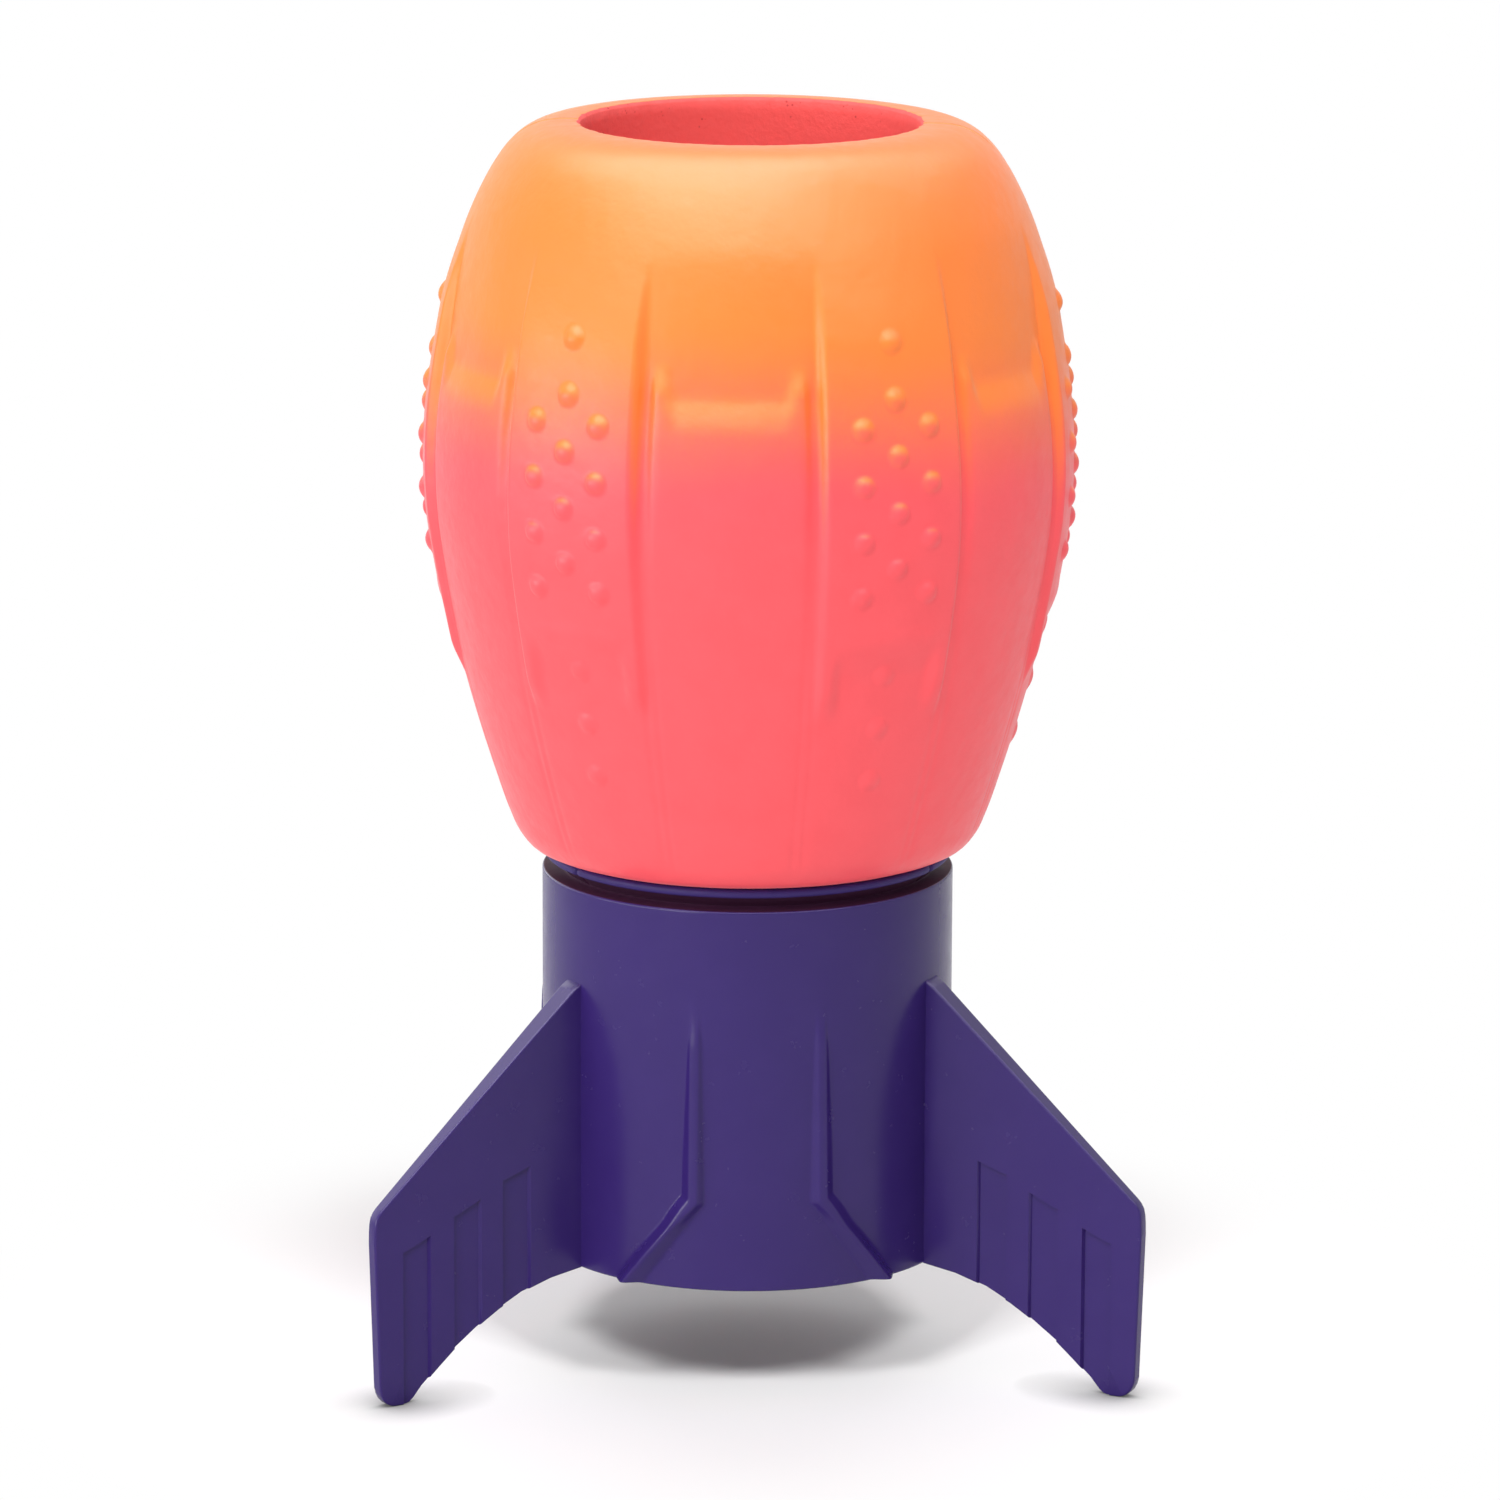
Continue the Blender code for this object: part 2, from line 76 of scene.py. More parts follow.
# Places read from the frame
GLUE_LOW, GLUE_HIGH = node_box("glue_film")
AXIS_X = (GLUE_LOW[0] + GLUE_HIGH[0]) / 2
AXIS_Y = (GLUE_LOW[1] + GLUE_HIGH[1]) / 2
FOOT_HEIGHT = node_box("foam_body")[0][2]
NOSE_HEIGHT = node_box("foam_body")[1][2]
TUBE_BOTTOM = node_box("tail_tube")[0][2]
SPIGOT_TOP = node_box("tail_tube")[1][2]
FIN_REACH = node_box("fin_rear")[1][1] - AXIS_Y

# Foam barrel: height and radius of its smooth skin, nose to foot
BARREL_SKIN = [
    (229.0, 34.6), (228.4, 38.2), (227.0, 41.2), (224.5, 44.0), (221.0, 46.5), (217.0, 48.7),
    (212.0, 50.9), (206.0, 52.6), (198.0, 54.4), (188.0, 56.2), (178.0, 57.6), (168.0, 58.1),
    (158.0, 57.6), (150.0, 56.4), (140.0, 54.5), (130.0, 52.3), (120.0, 49.6), (110.0, 46.5),
    (103.0, 44.1), (99.0, 42.3), (96.6, 40.2), (95.6, 37.6),
]
BORE_RADIUS = 30.7
BORE_BEVEL = 0.6
MOUTH_RAGGED = 0.08            # how unevenly the mouth's edge is trimmed
MOUTH_EDGE = 0.4               # width of that edge, and how far down it reaches
MOUTH_EDGE_DEPTH = 1.0
RAGGED_WAVES = [(1.0, 23, 0.0), (1.0, 41, 1.7), (0.8, 67, 0.6), (0.6, 97, 0.0)]  # strength, number, phase
RIM_START = 226.0              # the flat rim is above this, and its relief fades out towards the mouth
RIM_FADE_RADIUS = 36.0
FOOT_FADE = 1.0
SOCKET_RADIUS = 34.4
SOCKET_TOP = SPIGOT_TOP + 0.3
FOAM_TWIST = -6.8              # the barrel is glued on a little turned against the fins
UNEVEN = 0.07                  # slow waviness of the moulded foam, and its waves
SLOW_WAVES = [(1.0, 3, 31, 1.3), (0.8, 5, -17, 0.4), (0.6, 8, 11, 2.0)]  # strength, number, length, phase
SKIN_STEP_FINE = 0.5           # spacing of rows where the bumps are, and elsewhere
SKIN_STEP_PLAIN = 0.9
FINE_HEIGHTS = (112.0, 204.0)
COLUMN_STEP_FINE = 0.5         # degrees between columns on and beside the grip panels, and elsewhere
COLUMN_STEP_PLAIN = 1.0
FINE_ANGLE = 17.0
INSIDE_ROWS = (4, 12, 4, 60, 3)  # of the foot, the socket's side and top, the bore and its bevel

# Panels moulded into the barrel
SECTOR = 60.0
GRIP_RISE = 1.2
GRIP_TOP = (196.0, 214.0)
GRIP_FOOT = (127.5, 135.0)
GRIP_EDGE = (12.5, 14.3)
STEP_HEIGHTS = (136.5, 143.5)
STEP_EDGE = (8.6, 11.4)
LIP_HEIGHTS = (142.0, 146.5)   # a low lip above the step
LIP_RISE = 0.12
SCOOP_DEPTH = 1.3
SCOOP_FADES = (130.0, 214.0)
SCOOP_DEEPEST = 187.2
SCOOP_POWER = 1.5
PAD_EDGE = (13.0, 15.0)
PAD_LEDGE = (181.0, 189.4)
PAD_CORNER = (188.0, 194.2)
PAD_MIDDLE = (10.2, 12.0)
CREASE_ANGLES = (13.6, 15.8)   # faint creases run on from the panels' edges down to the foot
CREASE_DEPTH = 0.14
CREASE_WIDTH = 0.55
CREASE_FADE_IN = (97.0, 104.0)
CREASE_FADE_OUT = (128.0, 150.0)
PARTING_AZIMUTHS = (FOAM_TWIST - 90.0, FOAM_TWIST + 90.0)
PARTING_DEPTH = 0.32
PARTING_WIDTH = 0.45
PARTING_FADE = (222.0, 228.0)

# Bumps on the grip panels
BUMP_RADIUS = 2.05
BUMP_HEIGHT = 0.92
BUMP_FULLNESS = 0.85           # below 1 the dome is fuller than a paraboloid
BUMP_PITCH = 10.0
BUMP_COLUMN_ANGLE = 6.4
MIDDLE_BUMPS = [197.2 - BUMP_PITCH * row for row in range(5)]
SIDE_BUMPS = [182.2 - BUMP_PITCH * row for row in range(4)]
FAINT_BUMPS = [137.0 - BUMP_PITCH * row for row in range(3)]
FAINT_SHARE = 0.6

# Tail tube
TUBE_RADIUS = 37.8
TUBE_TOP = 91.3
TUBE_WALL = 2.4
GROOVE_RADIUS = 34.3
GROOVE_TOP = 93.6
BEAD_RADIUS = 37.5
BEAD_TOP = 95.3
SPIGOT_RADIUS = 33.2
SPIGOT_INNER = 31.1
SPIGOT_CHAMFER = 0.4
GROOVE_LIP = 2.2               # how far the bead's foot stands over the groove
GROOVE_CORNER = 0.3
CONE_HEIGHTS = (84.0, 91.0)
INNER_CHAMFER = 0.2
EDGE_ROUND = 0.45
SHARP_TUBE_EDGE = math.radians(50)
TINY = 0.01
NOTCH_DEPTH = 1.0              # where the mould's halves meet, the bead has a notch
NOTCH_WIDTH = 0.42

# Swept ribs on the tube, a pair between each two fins
FIN_COUNT = 3
RIB_ANGLE = 17.5
RIB_END_ANGLE = 37.9
RIB_BEND = 37.3
RIB_STATIONS = [(75.0, -0.5), (66.0, 0.7), (52.0, 1.3), (RIB_BEND, 1.8), (18.3, 2.7)]
RIB_END = (TUBE_BOTTOM, TUBE_BOTTOM + 0.35)
RIB_BAND = 2.7
RIB_CREST = (0.8, 0.3)         # half width of its flat crest above the bend, and of the ridge below
RIB_INNER_SLOPE = (1.75, 1.25)  # how steep its side towards the other rib is, above and below the bend
RIB_OUTER_SLOPE = (1.1, 1.25)  # and its side towards the fin
RIB_SOFT = (0.22, 0.3)         # rounding of its crest's edges and of its foot
RIB_SIDE_FADE = 0.5
RIB_TOP_FADE = 4.0
RIDGE_LENGTH = 6.0

# Rows and columns of the tube's mesh
EDGE_ROWS = 6
BEAD_ROWS = 13
RIB_ROWS = (TUBE_BOTTOM + EDGE_ROUND + 0.1, RIB_BEND + 3.0, 45)  # lowest, highest and how many
UPPER_ROWS = (RIB_BEND + 4.0, TUBE_TOP - EDGE_ROUND - 0.3, 60)
INNER_ROWS = (TUBE_BOTTOM + 4.0, CONE_HEIGHTS[0], 12)
SPIGOT_ROWS = (CONE_HEIGHTS[1], SPIGOT_TOP - SPIGOT_CHAMFER, 8)
CREST_COLUMNS = (-0.28, 0.0, 0.28)
RIB_SIDE_COLUMNS = (0.55, RIB_BAND, 14)  # nearest to and furthest from its middle, and how many
MIDDLE_COLUMNS = 14
OUTER_COLUMNS = (0.0, 0.96, 24)  # shares of the way from a rib to a fin, and how many
ROOT_COLUMNS = (0.975, 0.985, 0.993, 1.0)

# Fins: outline as points of reach from the axis and height
ROOT_THICKNESS = 4.8
TIP_THICKNESS = 2.5
ROOT_REACH = 36.6
ROOT_SUNK = 37.3               # the visible fin starts inside the tube's skin
ROOT_TOP = 73.95
FIN_LEADING = [(39.3, 72.85), (79.3, 37.2)]
FIN_SHOULDER = [(79.9, 36.5), (80.4, 35.6), (80.65, 34.4), (80.75, 33.0), (80.8, 31.0)]
FIN_TIP = [(79.9, 3.6), (79.6, 2.4), (79.1, 1.4), (78.4, 0.65), (77.6, 0.2)]
FIN_FOOT = [(76.8, 0.0), (74.3, 0.0)]
FIN_HEEL = [(73.5, 0.25), (72.7, 0.9), (71.0, 2.9), (67.5, 6.0), (64.0, 9.0)]
FIN_TRAILING = [(59.5, 12.2), (55.0, 14.9), (50.0, 17.4), (44.0, 19.2), (ROOT_SUNK, 20.3)]
FIN_ROUNDING = (0.75, 5, 60.0)  # radius, segments and least angle of the edges that it rounds
PANEL_ROUNDING = (0.1, 2, 35.0)
PANEL_SPANS = [(48.3, 54.2), (58.6, 64.4), (69.2, 75.0)]
PANEL_TOPS = [(41.2, 39.3), (36.5, 34.0), (31.1, 28.8)]
PANEL_DEPTH = 0.7
PANEL_DRAFT = 0.4              # how far a sunk panel's inner side and top lean, and its outer side
PANEL_OUTER_DRAFT = PANEL_DRAFT / 3
CUTTER_MARGIN = 5.0
FLAT_FACE_AREA = 20.0          # larger faces of a fin, in square millimetres, are shaded flat
SHARP_FIN_EDGE = math.radians(40)

# Camera, from the fit to the photograph
FRAME_PIXELS = 1500
FOCAL_PIXELS = 7640
SENSOR = 36.0
CAMERA_AZIMUTH = -3.2
CAMERA_DISTANCE = 1369.0
CAMERA_HEIGHT = 421.9
CAMERA_PITCH = 12.73
CAMERA_YAW = 0.015
CAMERA_ROLL = 0.22

# Studio
LAMP_TARGET = 110.0            # height that the lamps point at
WORLD_LIGHT = (0.08, 0.5)      # at the horizon and overhead, on matt surfaces
FLOOR_SIZE = 6000.0
FLOOR_FADE = (75.0, 150.0)     # the floor's own shading fades into plain white between these
FLOOR_ROUGHNESS = 0.7
FLOOR_SPECULAR = 0.1
FLOOR_GLOW = 0.03
CONTACT_REACH = 12.0           # the dark contact shadow under a foot
CONTACT_POWER = 2.0

# Lamps: azimuth, elevation, distance, width and height in metres, and power in watts
BALL_LAMPS = {
    "key": (-15.0, 43.0, 1.5, 0.6, 0.6, 9.3),
    "left": (-68.0, 6.0, 1.5, 1.3, 0.4, 10.5),
    "right": (75.0, 5.0, 1.5, 1.2, 0.4, 3.3),
    "top": (-15.0, 76.0, 1.3, 1.1, 1.1, 7.4),
    "rim": (-138.0, 1.0, 1.5, 1.0, 0.25, 8.5),
}
REFLECTED_LAMPS = ("left", "top")  # of these, the ones that also show in the gloss
GLOSS_LAMPS = {                # these show in the gloss only
    "gloss_top": (-95.0, 76.0, 1.3, 1.4, 1.4, 36.0),
    "gloss_right": (110.0, 58.0, 1.4, 1.2, 1.0, 12.0),
    "gloss_front": (0.0, 52.0, 1.4, 2.8, 0.7, 28.0),
}
TAIL_LAMPS = {                 # these reach the tail only, and the last shows in its gloss only
    "tail_side": (-38.0, 8.0, 1.5, 0.5, 0.5, 4.5),
    "tail_back": (-135.0, 18.0, 1.5, 1.6, 1.0, 7.0),
}
FLOOR_LAMPS = {                # these reach the floor only, past the barrel and the fins
    "floor_left": (-31.0, 48.0, 1.5, 0.4, 0.4, 14.0),
    "floor_right": (29.0, 48.0, 1.5, 0.4, 0.4, 13.0),
    "floor_back": (180.0, 30.0, 1.5, 1.5, 1.5, 11.0),
}


def smooth_step(value, low, high):
    """0 below low, 1 above high, and an S curve between."""
    share = np.clip((value - low) / (high - low), 0.0, 1.0)
    return share * share * (3.0 - 2.0 * share)


def soft_positive(value, softness):
    """The value where it is positive and 0 elsewhere, with a rounded corner between."""
    return (value + np.sqrt(value ** 2 + softness ** 2)) / 2


def spline(points, samples=40):
    """A soft curve through the points, as a dense array of them."""
    points = np.array(points, dtype=float)
    ends = np.vstack([2 * points[0] - points[1], points, 2 * points[-1] - points[-2]])
    share = np.linspace(0.0, 1.0, samples, endpoint=False)[:, None]
    runs = []
    for before, start, end, after in zip(ends, ends[1:], ends[2:], ends[3:]):
        pairs = ((before, start), (start, end), (end, after))
        gaps = [max(np.linalg.norm(second - first), SMALLEST_GAP) for first, second in pairs]
        first, middle, last = gaps
        slope_start = (start - before) / first - (end - before) / (first + middle) + (end - start) / middle
        slope_end = (end - start) / middle - (after - start) / (middle + last) + (after - end) / last
        slope_start, slope_end = slope_start * middle, slope_end * middle
        squared, cubed = share ** 2, share ** 3
        runs.append(
            (2 * cubed - 3 * squared + 1) * start + (cubed - 2 * squared + share) * slope_start
            + (3 * squared - 2 * cubed) * end + (cubed - squared) * slope_end
        )
    runs.append(points[-1:])
    return np.vstack(runs)


def spaced(curve, spacing):
    """Points along a dense (radius, height) curve, as far apart as spacing(height) says."""
    lengths = np.concatenate([[0.0], np.cumsum(np.linalg.norm(np.diff(curve, axis=0), axis=1))])
    places = [0.0]
    while places[-1] < lengths[-1]:
        height = np.interp(places[-1], lengths, curve[:, 1])
        places.append(places[-1] + spacing(height))
    if lengths[-1] - places[-2] < (places[-1] - places[-2]) / 2:
        places.pop()
    places[-1] = lengths[-1]
    return np.stack([np.interp(places, lengths, curve[:, axis]) for axis in (0, 1)], axis=1)


def straight(start, end, count):
    """Evenly spaced (radius, height) points from start up to, not including, end."""
    share = np.linspace(0.0, 1.0, count, endpoint=False)[:, None]
    return np.array(start) * (1 - share) + np.array(end) * share


def ring_mesh(name, radius, azimuth, height):
    """A closed surface from a grid of places round the axis: rows follow the profile."""
    angle = np.radians(azimuth)
    places = np.stack(
        [AXIS_X + radius * np.sin(angle), AXIS_Y - radius * np.cos(angle), height + 0 * radius], axis=-1
    )
    rows, columns = radius.shape
    index = np.arange(rows * columns).reshape(rows, columns)
    below = np.roll(index, -1, axis=0)
    faces = np.stack([index, below, np.roll(below, -1, axis=1), np.roll(index, -1, axis=1)], axis=-1)
    mesh = bpy.data.meshes.new(name)
    mesh.from_pydata((places.reshape(-1, 3) * MM).tolist(), [], faces.reshape(-1, 4).tolist())
    mesh.update()
    mesh.shade_smooth()
    piece = bpy.data.objects.new(name, mesh)
    bpy.context.scene.collection.objects.link(piece)
    return piece


# Foam barrel
def barrel_columns():
    """Azimuths of the barrel's columns and their signed angles from the nearest grip's middle."""
    half = np.concatenate([
        np.arange(0.0, FINE_ANGLE, COLUMN_STEP_FINE),
        np.arange(FINE_ANGLE, SECTOR / 2, COLUMN_STEP_PLAIN),
    ])
    sector = np.concatenate([[-SECTOR / 2], -half[:0:-1], half])
    count = round(360.0 / SECTOR)
    middles = FOAM_TWIST + SECTOR * (np.arange(count) + 0.5)
    azimuth = (middles[:, None] + sector[None, :]).reshape(-1)
    return azimuth, np.tile(sector, count)


def panel_relief(from_middle, height):
    """How far the skin stands out, at an angle from a grip panel's middle."""
    from_grip = np.abs(from_middle)
    from_smooth = SECTOR / 2 - from_grip
    outside = smooth_step(from_grip, *GRIP_EDGE)
    rise = (1 - smooth_step(height, *GRIP_TOP)) * smooth_step(height, *GRIP_FOOT) * (1 - outside)
    between_strips = 1 - smooth_step(from_grip, *STEP_EDGE)
    stepped = (1 - smooth_step(height, *STEP_HEIGHTS)) * between_strips
    lip_share = np.clip((height - LIP_HEIGHTS[0]) / (LIP_HEIGHTS[1] - LIP_HEIGHTS[0]), 0.0, 1.0)
    lip = LIP_RISE * np.sin(lip_share * math.pi) ** 2 * between_strips
    fade = np.where(height > SCOOP_DEEPEST, SCOOP_FADES[1], SCOOP_FADES[0])
    share = np.clip((height - fade) / (SCOOP_DEEPEST - fade), 0.0, 1.0)
    depth = SCOOP_DEPTH * share ** SCOOP_POWER * outside
    sideways = smooth_step(from_smooth, *PAD_MIDDLE)
    low = PAD_LEDGE[0] + (PAD_CORNER[0] - PAD_LEDGE[0]) * sideways
    high = PAD_LEDGE[1] + (PAD_CORNER[1] - PAD_LEDGE[1]) * sideways
    pad = (1 - smooth_step(height, low, high)) * (1 - smooth_step(from_smooth, *PAD_EDGE))
    return GRIP_RISE * rise * (1 - stepped) + lip - depth * (1 - pad)


def bump_relief(from_middle, height, radius):
    """The bumps on a grip panel, as low domes."""
    places = [(0.0, middle, 1.0) for middle in MIDDLE_BUMPS]
    for side in (-1, 1):
        places += [(side * BUMP_COLUMN_ANGLE, middle, 1.0) for middle in SIDE_BUMPS]
    places += [(0.0, middle, FAINT_SHARE) for middle in FAINT_BUMPS]
    relief = np.zeros(np.broadcast_shapes(from_middle.shape, height.shape))
    for angle, middle, share in places:
        across = np.radians(from_middle - angle) * radius
        distance = np.hypot(across, height - middle) / BUMP_RADIUS
        dome = np.clip(1 - distance ** 2, 0.0, 1.0) ** BUMP_FULLNESS
        relief += BUMP_HEIGHT * share * dome
    return relief


def crease_relief(from_middle, azimuth, height, radius):
    """Faint creases below the panels' edges, and the mould's parting lines."""
    relief = np.zeros(np.broadcast_shapes(from_middle.shape, height.shape))
    fade = (1 - smooth_step(height, *CREASE_FADE_OUT)) * smooth_step(height, *CREASE_FADE_IN)
    for angle in CREASE_ANGLES:
        across = np.radians(np.abs(from_middle) - angle) * radius
        relief -= CREASE_DEPTH * fade * np.exp(-(across / CREASE_WIDTH) ** 2)
    for place in PARTING_AZIMUTHS:
        away = (azimuth - place + 180.0) % 360.0 - 180.0
        mark = np.exp(-(np.radians(away) * radius / PARTING_WIDTH) ** 2)
        relief -= PARTING_DEPTH * smooth_step(height, *PARTING_FADE) * mark
    return relief


def slow_waves(azimuth, height):
    """Slow unevenness of the moulded foam."""
    angle = np.radians(azimuth)
    waves = [
        strength * np.sin(number * angle + height / length + phase)
        for strength, number, length, phase in SLOW_WAVES
    ]
    return UNEVEN * sum(waves)


def ragged_mouth(azimuth, radius, height):
    """How unevenly the mouth's edge is trimmed."""
    angle = np.radians(azimuth)
    waves = [strength * np.sin(number * angle + phase) for strength, number, phase in RAGGED_WAVES]
    from_edge = (radius - BORE_RADIUS - BORE_BEVEL) / MOUTH_EDGE
    at_edge = np.exp(-from_edge ** 2) * (height > NOSE_HEIGHT - MOUTH_EDGE_DEPTH)
    return MOUTH_RAGGED * sum(waves) * at_edge


def foam_profile():
    """The barrel's closed profile as (radius, height) rows, and how many of them are skin."""
    mouth = (BORE_RADIUS + BORE_BEVEL, NOSE_HEIGHT)
    curve = spline([mouth] + [(radius, height) for height, radius in BARREL_SKIN])
    curve[:, 1] = np.clip(curve[:, 1], FOOT_HEIGHT, NOSE_HEIGHT)

    def spacing(height):
        fine = FINE_HEIGHTS[0] < height < FINE_HEIGHTS[1]
        return SKIN_STEP_FINE if fine else SKIN_STEP_PLAIN

    skin = spaced(curve, spacing)
    corners = [
        tuple(skin[-1]), (SOCKET_RADIUS, FOOT_HEIGHT), (SOCKET_RADIUS, SOCKET_TOP),
        (BORE_RADIUS, SOCKET_TOP), (BORE_RADIUS, NOSE_HEIGHT - BORE_BEVEL), mouth,
    ]
    inside = [straight(start, end, rows) for start, end, rows in zip(corners, corners[1:], INSIDE_ROWS)]
    inside[0] = inside[0][1:]
    return np.vstack([skin] + inside), len(skin)


def barrel_surface():
    """Radius, azimuth and height of the barrel's rows and columns, and which rows are moulded skin."""
    azimuth, from_middle = [columns[None, :] for columns in barrel_columns()]
    profile, skin_rows = foam_profile()
    base = profile[:, :1]
    height = profile[:, 1:]
    is_skin = (np.arange(len(profile)) < skin_rows)[:, None]
    on_rim = height > RIM_START
    creases = crease_relief(from_middle, azimuth, height, base)
    relief = panel_relief(from_middle, height) + bump_relief(from_middle, height, base)
    relief = relief + creases + slow_waves(azimuth, height)
    foot = smooth_step(height, FOOT_HEIGHT, FOOT_HEIGHT + FOOT_FADE)
    rim = np.where(on_rim, smooth_step(base, BORE_RADIUS + BORE_BEVEL, RIM_FADE_RADIUS), 1.0)
    radius = base + relief * is_skin * foot * rim + ragged_mouth(azimuth, base, height)
    return radius, azimuth + 0 * radius, height + creases * on_rim * is_skin, is_skin


def make_foam_barrel():
    """The moulded foam barrel with its panels, bumps, bore and socket."""
    radius, azimuth, height, is_skin = barrel_surface()
    piece = ring_mesh("foam_barrel", radius, azimuth, height)
    piece.data.materials.append(painted_foam())
    piece.data.materials.append(bare_foam())
    bare = ~is_skin & np.ones(radius.shape, dtype=bool)
    piece.data.polygons.foreach_set("material_index", bare.reshape(-1).astype(np.int32))
    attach(piece, "root")
    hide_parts("foam_body")
    return piece


# Tail tube
def half_sector_columns():
    """Columns from between two fins to a fin: shares of the way to a rib, places on it, shares beyond."""
    side = np.linspace(*RIB_SIDE_COLUMNS)
    band = np.concatenate([-side[::-1], CREST_COLUMNS, side])
    outer = np.concatenate([np.linspace(*OUTER_COLUMNS)[1:], ROOT_COLUMNS])
    return np.linspace(0.0, 1.0, MIDDLE_COLUMNS, endpoint=False), band, outer


def rib_columns(height):
    """Distance round the tube of each column at a height, from the middle to a fin."""
    inner, band, outer = half_sector_columns()
    per_degree = math.tau * TUBE_RADIUS / 360.0
    centre = RIB_ANGLE * per_degree
    lean = math.atan2((RIB_END_ANGLE - RIB_ANGLE) * per_degree, RIB_BEND - TUBE_BOTTOM)
    swept = centre + (RIB_BEND - height) * math.tan(lean) + band / math.cos(lean)
    places = np.maximum(centre + band, swept)
    reach = SECTOR * per_degree
    before = inner * places[0]
    after = places[-1] + outer * (reach - places[-1])
    return np.concatenate([before, places, after]) / per_degree


def rib_relief(height):
    """How far each column of a half sector stands out at a height."""
    inner, band, outer = half_sector_columns()
    stations = sorted(RIB_STATIONS)
    rise = np.interp(height, *zip(*stations))
    swept = smooth_step(RIB_BEND - height, 0.0, RIDGE_LENGTH)
    crest, inner_slope, outer_slope = [
        above + (below - above) * swept for above, below in (RIB_CREST, RIB_INNER_SLOPE, RIB_OUTER_SLOPE)
    ]
    beyond = soft_positive(np.abs(band) - crest, RIB_SOFT[0])
    stands = soft_positive(rise - np.where(band < 0, inner_slope, outer_slope) * beyond, RIB_SOFT[1])
    stands *= 1 - smooth_step(np.abs(band), RIB_BAND - RIB_SIDE_FADE, RIB_BAND)
    stands *= smooth_step(height, *RIB_END)
    stands *= 1 - smooth_step(height, RIB_STATIONS[0][0], RIB_STATIONS[0][0] + RIB_TOP_FADE)
    return np.concatenate([0 * inner, stands, 0 * outer])


def around(half):
    """Repeat a half sector's values round the tube, mirrored about each middle."""
    sector = np.concatenate([half[::-1], half[1:-1]])
    return np.tile(sector, FIN_COUNT)


def tube_azimuths(height):
    """Azimuths of all the columns at a height."""
    half = rib_columns(height)
    sector = np.concatenate([-half[::-1], half[1:-1]])
    middles = 360.0 / FIN_COUNT * np.arange(FIN_COUNT)
    return (middles[:, None] + sector[None, :]).reshape(-1)


def quarter_rounds():
    """The rounded top and bottom edges of the tube's outside."""
    top = []
    bottom = []
    for angle in np.linspace(0.0, math.pi / 2, EDGE_ROWS):
        off_sine = EDGE_ROUND * (1 - math.sin(angle))
        off_cosine = EDGE_ROUND * (1 - math.cos(angle))
        top.append((TUBE_RADIUS - off_sine, TUBE_TOP - off_cosine))
        bottom.append((TUBE_RADIUS - off_cosine, TUBE_BOTTOM + off_sine))
    return top, bottom


def bead_round():
    """The half round of the bead, from its top down."""
    middle = (BEAD_TOP + GROOVE_TOP) / 2
    half = (BEAD_TOP - GROOVE_TOP) / 2
    return [
        (BEAD_RADIUS - half * (1 - math.cos(angle)), middle + half * math.sin(angle))
        for angle in np.linspace(math.pi / 2, -math.pi / 2, BEAD_ROWS)
    ]


def tube_profile():
    """Closed profile: spigot, bead, groove, tube and inside, as (radius, height) rows."""
    inner = TUBE_RADIUS - TUBE_WALL
    top_edge, bottom_edge = quarter_rounds()
    spigot = [
        (SPIGOT_INNER + SPIGOT_CHAMFER, SPIGOT_TOP), (SPIGOT_RADIUS - SPIGOT_CHAMFER, SPIGOT_TOP),
        (SPIGOT_RADIUS, SPIGOT_TOP - SPIGOT_CHAMFER), (SPIGOT_RADIUS, BEAD_TOP),
    ]
    groove = [
        (GROOVE_RADIUS + GROOVE_LIP, GROOVE_TOP), (GROOVE_RADIUS, TUBE_TOP + GROOVE_CORNER),
        (GROOVE_RADIUS + GROOVE_CORNER, TUBE_TOP),
    ]
    outside = [
        (TUBE_RADIUS, height) for rows in (UPPER_ROWS, RIB_ROWS) for height in np.linspace(*rows)[::-1]
    ]
    inside = [(inner + INNER_CHAMFER, TUBE_BOTTOM), (inner, TUBE_BOTTOM + INNER_CHAMFER)]
    inside += [(inner, height) for height in np.linspace(*INNER_ROWS)]
    inside += [(SPIGOT_INNER, height) for height in np.linspace(*SPIGOT_ROWS)]
    return np.array(spigot + bead_round() + groove + top_edge + outside + bottom_edge + inside)


def make_tail():
    """The tail tube with its bead, groove, spigot and swept ribs."""
    profile = tube_profile()
    azimuth = np.array([tube_azimuths(height) for _, height in profile])
    radius = profile[:, :1] + 0 * azimuth
    for row, (base, height) in enumerate(profile):
        if base > TUBE_RADIUS - EDGE_ROUND - TINY and height <= TUBE_TOP:
            radius[row] += around(rib_relief(height))
    third = 360.0 / FIN_COUNT
    seam = (azimuth - SECTOR) % third
    seam = np.radians(np.minimum(seam, third - seam)) * TUBE_RADIUS
    on_bead = (profile[:, 1:] > GROOVE_TOP - TINY) & (profile[:, :1] > GROOVE_RADIUS + TINY)
    radius -= NOTCH_DEPTH * np.exp(-(seam / NOTCH_WIDTH) ** 2) * on_bead
    piece = ring_mesh("tail_body", radius, azimuth, profile[:, 1:])
    piece.data.set_sharp_from_angle(angle=SHARP_TUBE_EDGE)
    piece.data.materials.append(tail_plastic())
    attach(piece, "root")
    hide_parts("tail_tube")
    return piece


# Fins
def fin_thickness(reach):
    """How thick a fin is at a distance from the axis."""
    share = (reach - ROOT_REACH) / (FIN_REACH - ROOT_REACH)
    return ROOT_THICKNESS + (TIP_THICKNESS - ROOT_THICKNESS) * share


